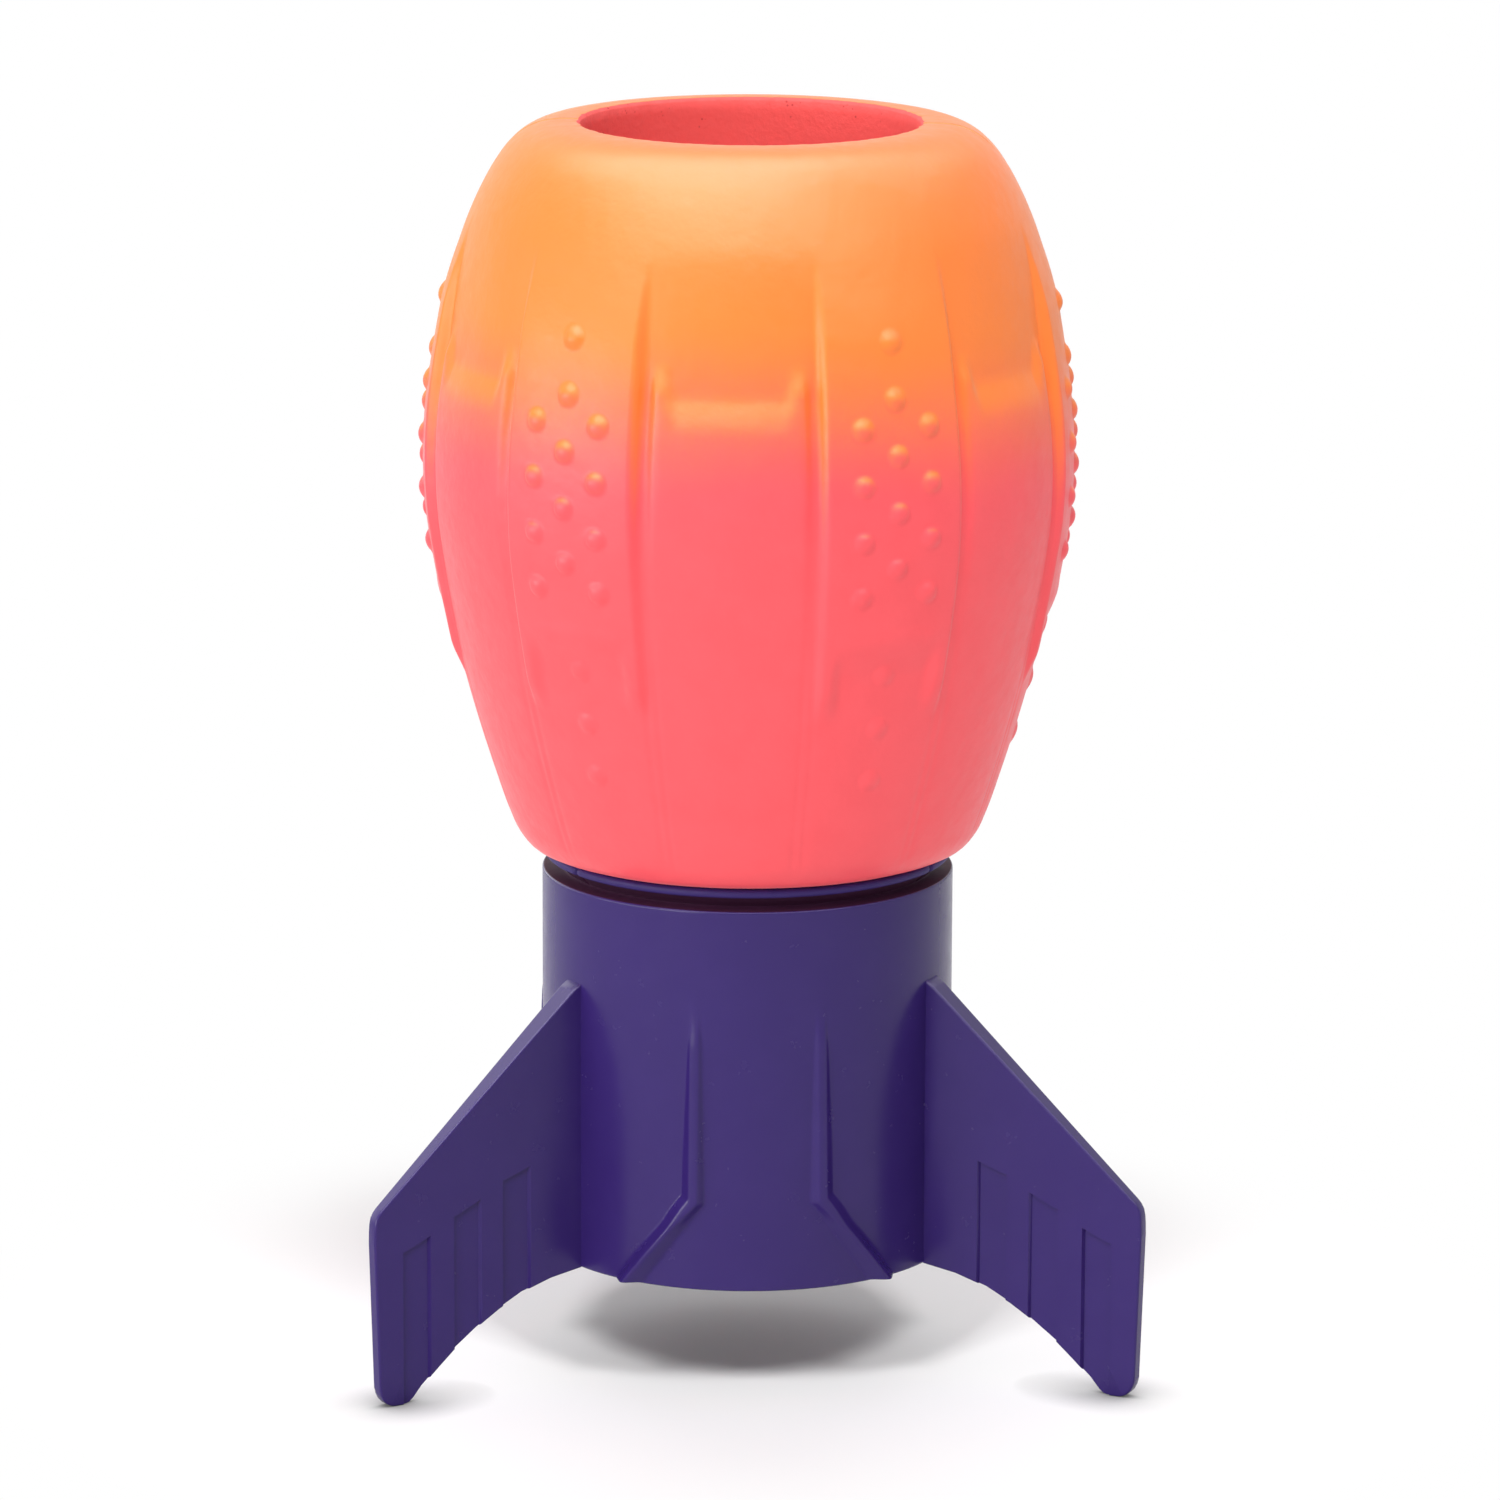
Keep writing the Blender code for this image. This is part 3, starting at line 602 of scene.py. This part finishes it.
def fin_outline():
    """Points of a fin's flat outline, from its root's top round the tip and back."""
    keyed = [(ROOT_SUNK, ROOT_TOP), (TUBE_RADIUS, ROOT_TOP)]
    return keyed + FIN_LEADING + FIN_SHOULDER + FIN_TIP + FIN_FOOT + FIN_HEEL + FIN_TRAILING


def plate_mesh(name, outline, inner, faces):
    """A plate between two faces: the outline on one and the inner outline on the other."""
    shape = bmesh.new()
    sides = []
    for points, (side, proud) in zip((outline, inner), faces):
        ring = []
        for reach, height in points:
            across = side * (fin_thickness(reach) / 2 + proud)
            ring.append(shape.verts.new(Vector((reach, across, height)) * MM))
        sides.append(ring)
    shape.faces.new(sides[0])
    shape.faces.new(list(reversed(sides[1])))
    count = len(outline)
    for index in range(count):
        after = (index + 1) % count
        shape.faces.new((sides[0][after], sides[0][index], sides[1][index], sides[1][after]))
    bmesh.ops.recalc_face_normals(shape, faces=shape.faces)
    mesh = bpy.data.meshes.new(name)
    shape.to_mesh(mesh)
    shape.free()
    return mesh


def shade_fin(mesh):
    """Shade a fin's rounded edges softly and its large flat faces flat."""
    mesh.shade_smooth()
    mesh.set_sharp_from_angle(angle=SHARP_FIN_EDGE)
    for face in mesh.polygons:
        if face.area > FLAT_FACE_AREA * MM ** 2:
            face.use_smooth = False


def panel_cutters(name):
    """A collection of the solids that sink the panels into both faces of a fin."""
    cutters = bpy.data.collections.new(name + "_cutters")
    bpy.context.scene.collection.children.link(cutters)
    foot = -CUTTER_MARGIN
    spread = 1 + CUTTER_MARGIN / PANEL_DEPTH
    for index, ((inner, outer), tops) in enumerate(zip(PANEL_SPANS, PANEL_TOPS)):
        wide = [(inner, foot), (inner, tops[0]), (outer, tops[1]), (outer, foot)]
        narrow = [
            (inner + PANEL_DRAFT, foot), (inner + PANEL_DRAFT, tops[0] - PANEL_DRAFT),
            (outer - PANEL_OUTER_DRAFT, tops[1] - PANEL_DRAFT), (outer - PANEL_OUTER_DRAFT, foot),
        ]
        flared = [
            (far[0] + (near[0] - far[0]) * spread, far[1] + (near[1] - far[1]) * spread)
            for near, far in zip(wide, narrow)
        ]
        for side in (-1, 1):
            faces = ((side, -PANEL_DEPTH), (side, CUTTER_MARGIN))
            cut = plate_mesh(f"{name}_cut_{index}_{side}", narrow, flared, faces)
            cutters.objects.link(bpy.data.objects.new(cut.name, cut))
    return cutters


def add_rounding(piece, radius, segments, least_angle):
    """Round the piece's edges from this angle up."""
    rounding = piece.modifiers.new("Rounding", "BEVEL")
    rounding.width = radius * MM
    rounding.segments = segments
    rounding.limit_method = "ANGLE"
    rounding.angle_limit = math.radians(least_angle)


def shape_fin(piece, cutters):
    """Round a fin's edges, cut its panels and turn the result into its plain mesh."""
    add_rounding(piece, *FIN_ROUNDING)
    step = piece.modifiers.new("Panels", "BOOLEAN")
    step.operation = "DIFFERENCE"
    step.solver = "EXACT"
    step.operand_type = "COLLECTION"
    step.collection = cutters
    add_rounding(piece, *PANEL_ROUNDING)
    bpy.context.view_layer.update()
    graph = bpy.context.evaluated_depsgraph_get()
    shaped = bpy.data.meshes.new_from_object(piece.evaluated_get(graph))
    piece.modifiers.clear()
    piece.data = shaped
    for cutter in list(cutters.objects):
        bpy.data.objects.remove(cutter, do_unlink=True)
    bpy.data.collections.remove(cutters)


def make_fin(name, azimuth, node):
    """One fin: a tapered plate with rounded edges and three sunk panels in each face."""
    outline = fin_outline()
    mesh = plate_mesh(name, outline, outline, ((-1, 0.0), (1, 0.0)))
    piece = bpy.data.objects.new(name, mesh)
    bpy.context.scene.collection.objects.link(piece)
    shape_fin(piece, panel_cutters(name))
    turn = Matrix.Rotation(math.radians(azimuth - 90), 4, "Z")
    piece.data.transform(Matrix.Translation(Vector((AXIS_X, AXIS_Y, 0.0)) * MM) @ turn)
    shade_fin(piece.data)
    piece.data.materials.clear()
    piece.data.materials.append(tail_plastic())
    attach(piece, "root")
    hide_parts(node)
    return piece


# Materials
class Shader:
    """A material with a Principled shader, and short ways to add its nodes."""

    def __init__(self, name):
        self.material = bpy.data.materials.new(name)
        self.material.use_nodes = True
        self.tree = self.material.node_tree
        self.surface = self.tree.nodes["Principled BSDF"]

    def give(self, name, value):
        """Link or set one of the surface's own inputs."""
        self.feed(self.surface.inputs[name], value)

    def spot(self):
        """The place on the object, in metres."""
        return self.add("ShaderNodeTexCoord").outputs["Object"]

    def parts(self, vector):
        """The outputs X, Y and Z of a vector."""
        item = self.add("ShaderNodeSeparateXYZ")
        self.feed(item.inputs[0], vector)
        return item.outputs

    def add(self, kind, **settings):
        """Add a node with these settings."""
        item = self.tree.nodes.new(kind)
        for key, value in settings.items():
            setattr(item, key, value)
        return item

    def feed(self, socket, value):
        """Link a socket to another one, or set it to a plain value."""
        if isinstance(value, bpy.types.NodeSocket):
            self.tree.links.new(value, socket)
        else:
            socket.default_value = value

    def calc(self, operation, first, second=0.0, third=0.0):
        """The result of a Math node."""
        item = self.add("ShaderNodeMath", operation=operation)
        for socket, value in zip(item.inputs, (first, second, third)):
            self.feed(socket, value)
        return item.outputs[0]

    def vector(self, operation, first, second=(0.0, 0.0, 0.0), output=0):
        """The result of a Vector Math node."""
        item = self.add("ShaderNodeVectorMath", operation=operation)
        self.feed(item.inputs[0], first)
        self.feed(item.inputs[1], second)
        return item.outputs[output]

    def noise(self, place, scale, detail, roughness):
        """Soft noise from 0 to 1, with scale in features a metre."""
        item = self.add("ShaderNodeTexNoise")
        self.feed(item.inputs["Vector"], place)
        item.inputs["Scale"].default_value = scale
        item.inputs["Detail"].default_value = detail
        item.inputs["Roughness"].default_value = roughness
        return item.outputs["Fac"]

    def ramp(self, value, low, high, start=0.0, end=1.0, kind="SMOOTHSTEP"):
        """Map low to high on start to end."""
        item = self.add("ShaderNodeMapRange", interpolation_type=kind)
        for socket, given in zip(item.inputs, (value, low, high, start, end)):
            self.feed(socket, given)
        return item.outputs[0]

    def mix(self, share, first, second):
        """Mix two colours."""
        item = self.add("ShaderNodeMix", data_type="RGBA")
        self.feed(item.inputs["Factor"], share)
        self.feed(item.inputs["A"], first)
        self.feed(item.inputs["B"], second)
        return item.outputs["Result"]

    def bump(self, height, distance, strength=1.0, below=None):
        """A bump of this depth in millimetres."""
        item = self.add("ShaderNodeBump")
        item.inputs["Strength"].default_value = strength
        item.inputs["Distance"].default_value = distance * MM
        self.feed(item.inputs["Height"], height)
        if below is not None:
            self.feed(item.inputs["Normal"], below)
        return item.outputs["Normal"]


# Colours, linear red, green, blue and alpha
CORAL = (1.0, 0.1, 0.12, 1.0)
CORAL_DEEP = (0.97, 0.09, 0.108, 1.0)
ORANGE = (1.0, 0.23, 0.034, 1.0)
CORE_RED = (1.0, 0.125, 0.118, 1.0)
# painted shade inside the foam's open pores
CORE_PORE_SHADE = (0.64, 0.05, 0.05, 1.0)
PURPLE = (0.0285, 0.0128, 0.115, 1.0)
PURPLE_WORN = (0.033, 0.016, 0.128, 1.0)
# painted shade with a reddish painted reflection of the foam above, for the groove under the bead
GROOVE_PAINTED_SHADE = (0.042, 0.009, 0.032, 1.0)
AMBER = (0.75, 0.66, 0.42, 1.0)
AMBER_STREAK = (0.6, 0.5, 0.28, 1.0)
WHITE = (1.0, 1.0, 1.0, 1.0)
BLACK = (0.0, 0.0, 0.0, 1.0)
FLOOR_SEEN = (0.74, 0.74, 0.74, 1.0)
FLOOR_BOUNCE = (0.68, 0.68, 0.68, 1.0)

# Noises: features a metre, levels of detail and roughness
DRIFT_NOISE = (45.0, 3.0, 0.5)
SPRAY_NOISE = (1500.0, 2.0, 0.6)
MOTTLE_NOISE = (140.0, 4.0, 0.55)
FOAM_GLOSS_NOISE = (420.0, 3.0, 0.5)
SKIN_NOISE = (1500.0, 3.0, 0.6)
DENT_NOISE = (260.0, 2.0, 0.5)
PORE_PATCH_NOISE = (300.0, 3.0, 0.5)
CUT_GRAIN_NOISE = (700.0, 4.0, 0.6)
CLOUD_NOISE = (90.0, 4.0, 0.6)
PLASTIC_GLOSS_NOISE = (240.0, 4.0, 0.6)
SPARK_NOISE = (2200.0, 2.0, 0.5)
STREAK_NOISE = (200.0, 3.0, 0.5)
NOISE_MIDDLE = 0.5
NOISE_RANGE = (0.3, 0.7)       # most of a noise is between these

# Orange coat: heights in millimetres, and what lifts or lowers them
COAT_HEIGHTS = (170.0, 204.0)  # bare below the first, fully sprayed above the second
COAT_UPWARD = 55.0             # more coat on what faces up
COAT_RIGHT = 2.0               # a little more towards +X
COAT_SIDES = 5.0               # more on both sides than in front
COAT_TURNED = 25.0             # more on what doesn't face straight out from the axis
COAT_DRIFT = 8.0               # slow unevenness of its edge
COAT_SPECKLE = 0.7             # and fine spray at it

# Foam
MOTTLE_RANGE = (0.35, 0.7)
MOTTLE_SHARE = 0.5
FOAM_ROUGHNESS = (0.36, 0.44)
FOAM_SPECULAR = 0.38
FOAM_SHEEN = 0.09
FOAM_SHEEN_ROUGHNESS = 0.35
SKIN_BUMP = 0.025
DENT_BUMP = 0.15
PORES_A_METRE = 900.0
PORE_RANGE = (0.08, 0.3)
PORE_PATCHES = (0.56, 0.7)
CORE_ROUGHNESS = 0.8
CORE_SPECULAR = 0.25
CORE_BUMP = 0.2

# Plastic
CLOUD_RANGE = (0.35, 0.75)
CLOUD_SHARE = 0.45
PLASTIC_ROUGHNESS = (0.2, 0.28)
PLASTIC_SPECULAR = 0.27
SPARK_BUMP = 0.008
GROOVE_MATT = 0.3              # how much rougher the groove and what is above it are
# heights between which the groove's colour turns to painted shade; from the first one up the plastic is also
# rougher
GROOVE_FLOOR = (TUBE_TOP - 0.12, TUBE_TOP - 0.02)
GROOVE_CEILING = (GROOVE_TOP - 0.1, GROOVE_TOP + 0.1)
GLUE_ROUGHNESS = 0.3


def coat_share(shader, spot):
    """How much of the orange coat covers the foam: sprayed from the nose, it reaches lower on some faces."""
    normal = shader.add("ShaderNodeNewGeometry").outputs["Normal"]
    centred = shader.vector("SUBTRACT", spot, (AXIS_X * MM, AXIS_Y * MM, 0.0))
    outward = shader.vector("NORMALIZE", shader.vector("MULTIPLY", centred, (1.0, 1.0, 0.0)))
    facing_out = shader.vector("DOT_PRODUCT", normal, outward, output=1)
    sideways = shader.parts(outward)["X"]
    upward = shader.calc("MAXIMUM", shader.parts(normal)["Z"], 0.0)
    drift = shader.calc("SUBTRACT", shader.noise(spot, *DRIFT_NOISE), NOISE_MIDDLE)
    lifts = [
        (shader.calc("MULTIPLY", upward, upward), COAT_UPWARD), (sideways, COAT_RIGHT),
        (shader.calc("ABSOLUTE", sideways), COAT_SIDES),
        (shader.calc("SUBTRACT", 1.0, facing_out), COAT_TURNED), (drift, COAT_DRIFT),
    ]
    reached = shader.calc("MULTIPLY", shader.parts(spot)["Z"], 1 / MM)
    for amount, millimetres in lifts:
        reached = shader.calc("MULTIPLY_ADD", amount, millimetres, reached)
    coat = shader.ramp(reached, *COAT_HEIGHTS)
    speckle = shader.calc("SUBTRACT", shader.noise(spot, *SPRAY_NOISE), NOISE_MIDDLE)
    edge_band = shader.calc("MULTIPLY", coat, shader.calc("SUBTRACT", 1.0, coat))
    return shader.calc("MULTIPLY_ADD", shader.calc("MULTIPLY", speckle, edge_band), COAT_SPECKLE, coat)


def painted_foam():
    """Self-skinned coral foam with an orange coat sprayed on from the nose."""
    shader = Shader("painted_foam")
    spot = shader.spot()
    mottle = shader.ramp(shader.noise(spot, *MOTTLE_NOISE), *MOTTLE_RANGE)
    ground = shader.mix(shader.calc("MULTIPLY", mottle, MOTTLE_SHARE), CORAL, CORAL_DEEP)
    shader.give("Base Color", shader.mix(coat_share(shader, spot), ground, ORANGE))
    gloss = shader.noise(spot, *FOAM_GLOSS_NOISE)
    shader.give("Roughness", shader.ramp(gloss, *NOISE_RANGE, *FOAM_ROUGHNESS, "LINEAR"))
    skin = shader.bump(shader.noise(spot, *SKIN_NOISE), SKIN_BUMP)
    shader.give("Normal", shader.bump(shader.noise(spot, *DENT_NOISE), DENT_BUMP, below=skin))
    shader.give("Specular IOR Level", FOAM_SPECULAR)
    shader.give("Sheen Weight", FOAM_SHEEN)
    shader.give("Sheen Roughness", FOAM_SHEEN_ROUGHNESS)
    return shader.material


def bare_foam():
    """The cut foam inside the bore: unpainted, matt and open-pored, with painted shade darkening its pores.
    """
    shader = Shader("bare_foam")
    spot = shader.spot()
    cells = shader.add("ShaderNodeTexVoronoi", feature="F1")
    shader.feed(cells.inputs["Vector"], spot)
    cells.inputs["Scale"].default_value = PORES_A_METRE
    pore = shader.ramp(cells.outputs["Distance"], *PORE_RANGE, 1.0, 0.0)
    patches = shader.ramp(shader.noise(spot, *PORE_PATCH_NOISE), *PORE_PATCHES)
    pore = shader.calc("MULTIPLY", pore, patches)
    # the pores, which the bump below dents, are also darkened in the colour as painted shade
    shader.give("Base Color", shader.mix(pore, CORE_RED, CORE_PORE_SHADE))
    shader.give("Roughness", CORE_ROUGHNESS)
    shader.give("Specular IOR Level", CORE_SPECULAR)
    grain = shader.bump(shader.noise(spot, *CUT_GRAIN_NOISE), CORE_BUMP)
    shader.give("Normal", shader.bump(pore, CORE_BUMP, strength=-1.0, below=grain))
    return shader.material


def tail_plastic():
    """Injection-moulded purple plastic with a fine spark-eroded grain, and painted shade in the groove under
    the bead.
    """
    known = bpy.data.materials.get("tail_plastic_look")
    if known:
        return known
    shader = Shader("tail_plastic_look")
    spot = shader.spot()
    cloud = shader.ramp(shader.noise(spot, *CLOUD_NOISE), *CLOUD_RANGE)
    colour = shader.mix(shader.calc("MULTIPLY", cloud, CLOUD_SHARE), PURPLE, PURPLE_WORN)
    # painted shade: the groove between the tube's top and the bead is darkened to maroon in the colour
    height = shader.calc("MULTIPLY", shader.parts(spot)["Z"], 1 / MM)
    above = shader.ramp(height, *GROOVE_FLOOR)
    groove = shader.calc("MULTIPLY", above, shader.ramp(height, *GROOVE_CEILING, 1.0, 0.0))
    shader.give("Base Color", shader.mix(groove, colour, GROOVE_PAINTED_SHADE))
    rough = shader.ramp(shader.noise(spot, *PLASTIC_GLOSS_NOISE), *NOISE_RANGE, *PLASTIC_ROUGHNESS, "LINEAR")
    shader.give("Roughness", shader.calc("MULTIPLY_ADD", above, GROOVE_MATT, rough))
    shader.give("Normal", shader.bump(shader.noise(spot, *SPARK_NOISE), SPARK_BUMP))
    shader.give("Specular IOR Level", PLASTIC_SPECULAR)
    return shader.material


def set_glue():
    """Set contact glue, amber and a little streaky."""
    shader = Shader("set_glue")
    streak = shader.noise(shader.spot(), *STREAK_NOISE)
    shader.give("Base Color", shader.mix(streak, AMBER, AMBER_STREAK))
    shader.give("Roughness", GLUE_ROUGHNESS)
    return shader.material


# Studio pieces
def make_lamp(name, azimuth, elevation, distance, width, height, power):
    """A soft lamp that is aimed at the ball's middle and isn't seen itself."""
    lamp = bpy.data.lights.new(name, "AREA")
    lamp.shape = "RECTANGLE"
    lamp.size = width
    lamp.size_y = height
    lamp.energy = power
    item = bpy.data.objects.new(name, lamp)
    bpy.context.scene.collection.objects.link(item)
    turn, lift = math.radians(azimuth), math.radians(elevation)
    way = Vector((math.sin(turn) * math.cos(lift), -math.cos(turn) * math.cos(lift), math.sin(lift)))
    item.location = Vector((AXIS_X, AXIS_Y, LAMP_TARGET)) * MM + way * distance
    item.rotation_euler = (-way).to_track_quat("-Z", "Y").to_euler()
    item.visible_camera = False
    return item


def make_lamps(table):
    """The lamps of one group."""
    return [make_lamp(name, *settings) for name, settings in table.items()]


def make_world():
    """A white studio all round, dimmer where it lights matt surfaces."""
    world = bpy.data.worlds.new("studio")
    bpy.context.scene.world = world
    world.use_nodes = True
    tree = world.node_tree
    back = tree.nodes["Background"]
    back.inputs["Color"].default_value = WHITE
    path = tree.nodes.new("ShaderNodeLightPath")
    seen = path.outputs["Is Camera Ray"]
    for name in ("Is Glossy Ray", "Is Transmission Ray"):
        either = tree.nodes.new("ShaderNodeMath")
        either.operation = "MAXIMUM"
        tree.links.new(seen, either.inputs[0])
        tree.links.new(path.outputs[name], either.inputs[1])
        seen = either.outputs[0]
    spot = tree.nodes.new("ShaderNodeTexCoord")
    split = tree.nodes.new("ShaderNodeSeparateXYZ")
    tree.links.new(spot.outputs["Generated"], split.inputs[0])
    dome = tree.nodes.new("ShaderNodeMapRange")
    dome.inputs["To Min"].default_value = WORLD_LIGHT[0]
    dome.inputs["To Max"].default_value = WORLD_LIGHT[1]
    tree.links.new(split.outputs["Z"], dome.inputs["Value"])
    strength = tree.nodes.new("ShaderNodeMapRange")
    strength.inputs["To Max"].default_value = 1.0
    tree.links.new(dome.outputs[0], strength.inputs["To Min"])
    tree.links.new(seen, strength.inputs["Value"])
    tree.links.new(strength.outputs[0], back.inputs["Strength"])


def make_floor():
    """A plain white floor that keeps the ball's shadow and fades into the white behind it."""
    bpy.ops.mesh.primitive_plane_add(size=FLOOR_SIZE * MM)
    floor = bpy.context.object
    floor.name = "floor"
    shader = Shader("floor_white")
    seen = shader.add("ShaderNodeLightPath").outputs["Is Camera Ray"]
    contact = shader.add("ShaderNodeAmbientOcclusion")
    contact.inputs["Distance"].default_value = CONTACT_REACH * MM
    open_share = shader.calc("POWER", contact.outputs["AO"], CONTACT_POWER)
    pale = shader.mix(seen, FLOOR_BOUNCE, FLOOR_SEEN)
    shader.give("Base Color", shader.mix(open_share, BLACK, pale))
    shader.give("Roughness", FLOOR_ROUGHNESS)
    shader.give("Specular IOR Level", FLOOR_SPECULAR)
    shader.give("Emission Color", WHITE)
    shader.give("Emission Strength", FLOOR_GLOW)
    distance = shader.vector("LENGTH", shader.spot(), output=1)
    far = shader.ramp(distance, FLOOR_FADE[0] * MM, FLOOR_FADE[1] * MM)
    glow = shader.add("ShaderNodeEmission")
    glow.inputs["Color"].default_value = WHITE
    blend = shader.add("ShaderNodeMixShader")
    shader.feed(blend.inputs[0], shader.calc("MULTIPLY", far, seen))
    shader.feed(blend.inputs[1], shader.surface.outputs[0])
    shader.feed(blend.inputs[2], glow.outputs[0])
    shader.feed(shader.tree.nodes["Material Output"].inputs["Surface"], blend.outputs[0])
    floor.data.materials.append(shader.material)
    return floor


def link_group(name, pieces, state):
    """A group of pieces that a lamp lights or is blocked by, or is kept off."""
    group = bpy.data.collections.new(name)
    for index, piece in enumerate(pieces):
        group.objects.link(piece)
        group.collection_objects[index].light_linking.link_state = state
    return group


def share_light(floor, foam, tail, floor_lamps, other_lamps, tail_lamps):
    """Keep the floor's lamps off the ball and its lamps off the floor, with no hard shadow of the fins."""
    only_floor = link_group("only_floor", [floor], "INCLUDE")
    not_floor = link_group("not_floor", [floor], "EXCLUDE")
    only_tail = link_group("only_tail", tail, "INCLUDE")
    only_tube = link_group("only_tube_blocks", [foam] + tail[1:], "EXCLUDE")
    for lamp in tail_lamps:
        lamp.light_linking.receiver_collection = only_tail
    for lamp in floor_lamps:
        lamp.light_linking.receiver_collection = only_floor
        lamp.light_linking.blocker_collection = only_tube
    for lamp in other_lamps:
        lamp.light_linking.receiver_collection = not_floor


def make_camera():
    """The camera where the photograph was taken from."""
    lens = bpy.data.cameras.new("camera")
    lens.sensor_width = SENSOR
    lens.lens = FOCAL_PIXELS / FRAME_PIXELS * SENSOR
    camera = bpy.data.objects.new("camera", lens)
    bpy.context.scene.collection.objects.link(camera)
    turn = math.radians(CAMERA_AZIMUTH)
    place = Vector((
        AXIS_X + CAMERA_DISTANCE * math.sin(turn), AXIS_Y - CAMERA_DISTANCE * math.cos(turn), CAMERA_HEIGHT,
    ))
    heading = turn - math.radians(CAMERA_YAW)
    pitch, roll = math.radians(CAMERA_PITCH), math.radians(CAMERA_ROLL)
    level = Vector((-math.sin(heading), math.cos(heading), 0.0))
    forward = level * math.cos(pitch) - Vector((0.0, 0.0, math.sin(pitch)))
    right = level.cross(Vector((0.0, 0.0, 1.0)))
    up = right.cross(forward)
    tilted_right = right * math.cos(roll) + up * math.sin(roll)
    tilted_up = tilted_right.cross(forward)
    rotation = Matrix((tilted_right, tilted_up, -forward)).transposed()
    camera.matrix_world = Matrix.Translation(place * MM) @ rotation.to_4x4()
    bpy.context.scene.camera = camera


def make_ball():
    """The visible pieces: the foam barrel, and the tail tube followed by the three fins."""
    foam = make_foam_barrel()
    tail = [make_tail()]
    for index, node in enumerate(("fin_front_right", "fin_rear", "fin_front_left")):
        name = node.replace("fin_", "fin_plate_")
        tail.append(make_fin(name, 360.0 / FIN_COUNT * (index + 0.5), node))
    glue = frame["nodes"]["glue_film"]
    glue.data.materials.clear()
    glue.data.materials.append(set_glue())
    return foam, tail


def make_studio(foam, tail):
    """The white surroundings, the floor and the lamps."""
    make_world()
    floor = make_floor()
    ball_lamps = make_lamps(BALL_LAMPS)
    for lamp in ball_lamps:
        lamp.visible_glossy = lamp.name in REFLECTED_LAMPS
    gloss_lamps = make_lamps(GLOSS_LAMPS)
    tail_lamps = make_lamps(TAIL_LAMPS)
    for lamp in gloss_lamps + tail_lamps[-1:]:
        lamp.visible_diffuse = False
    floor_lamps = make_lamps(FLOOR_LAMPS)
    share_light(floor, foam, tail, floor_lamps, ball_lamps + gloss_lamps, tail_lamps)
    bpy.context.scene.view_settings.view_transform = "Standard"


make_camera()
make_studio(*make_ball())
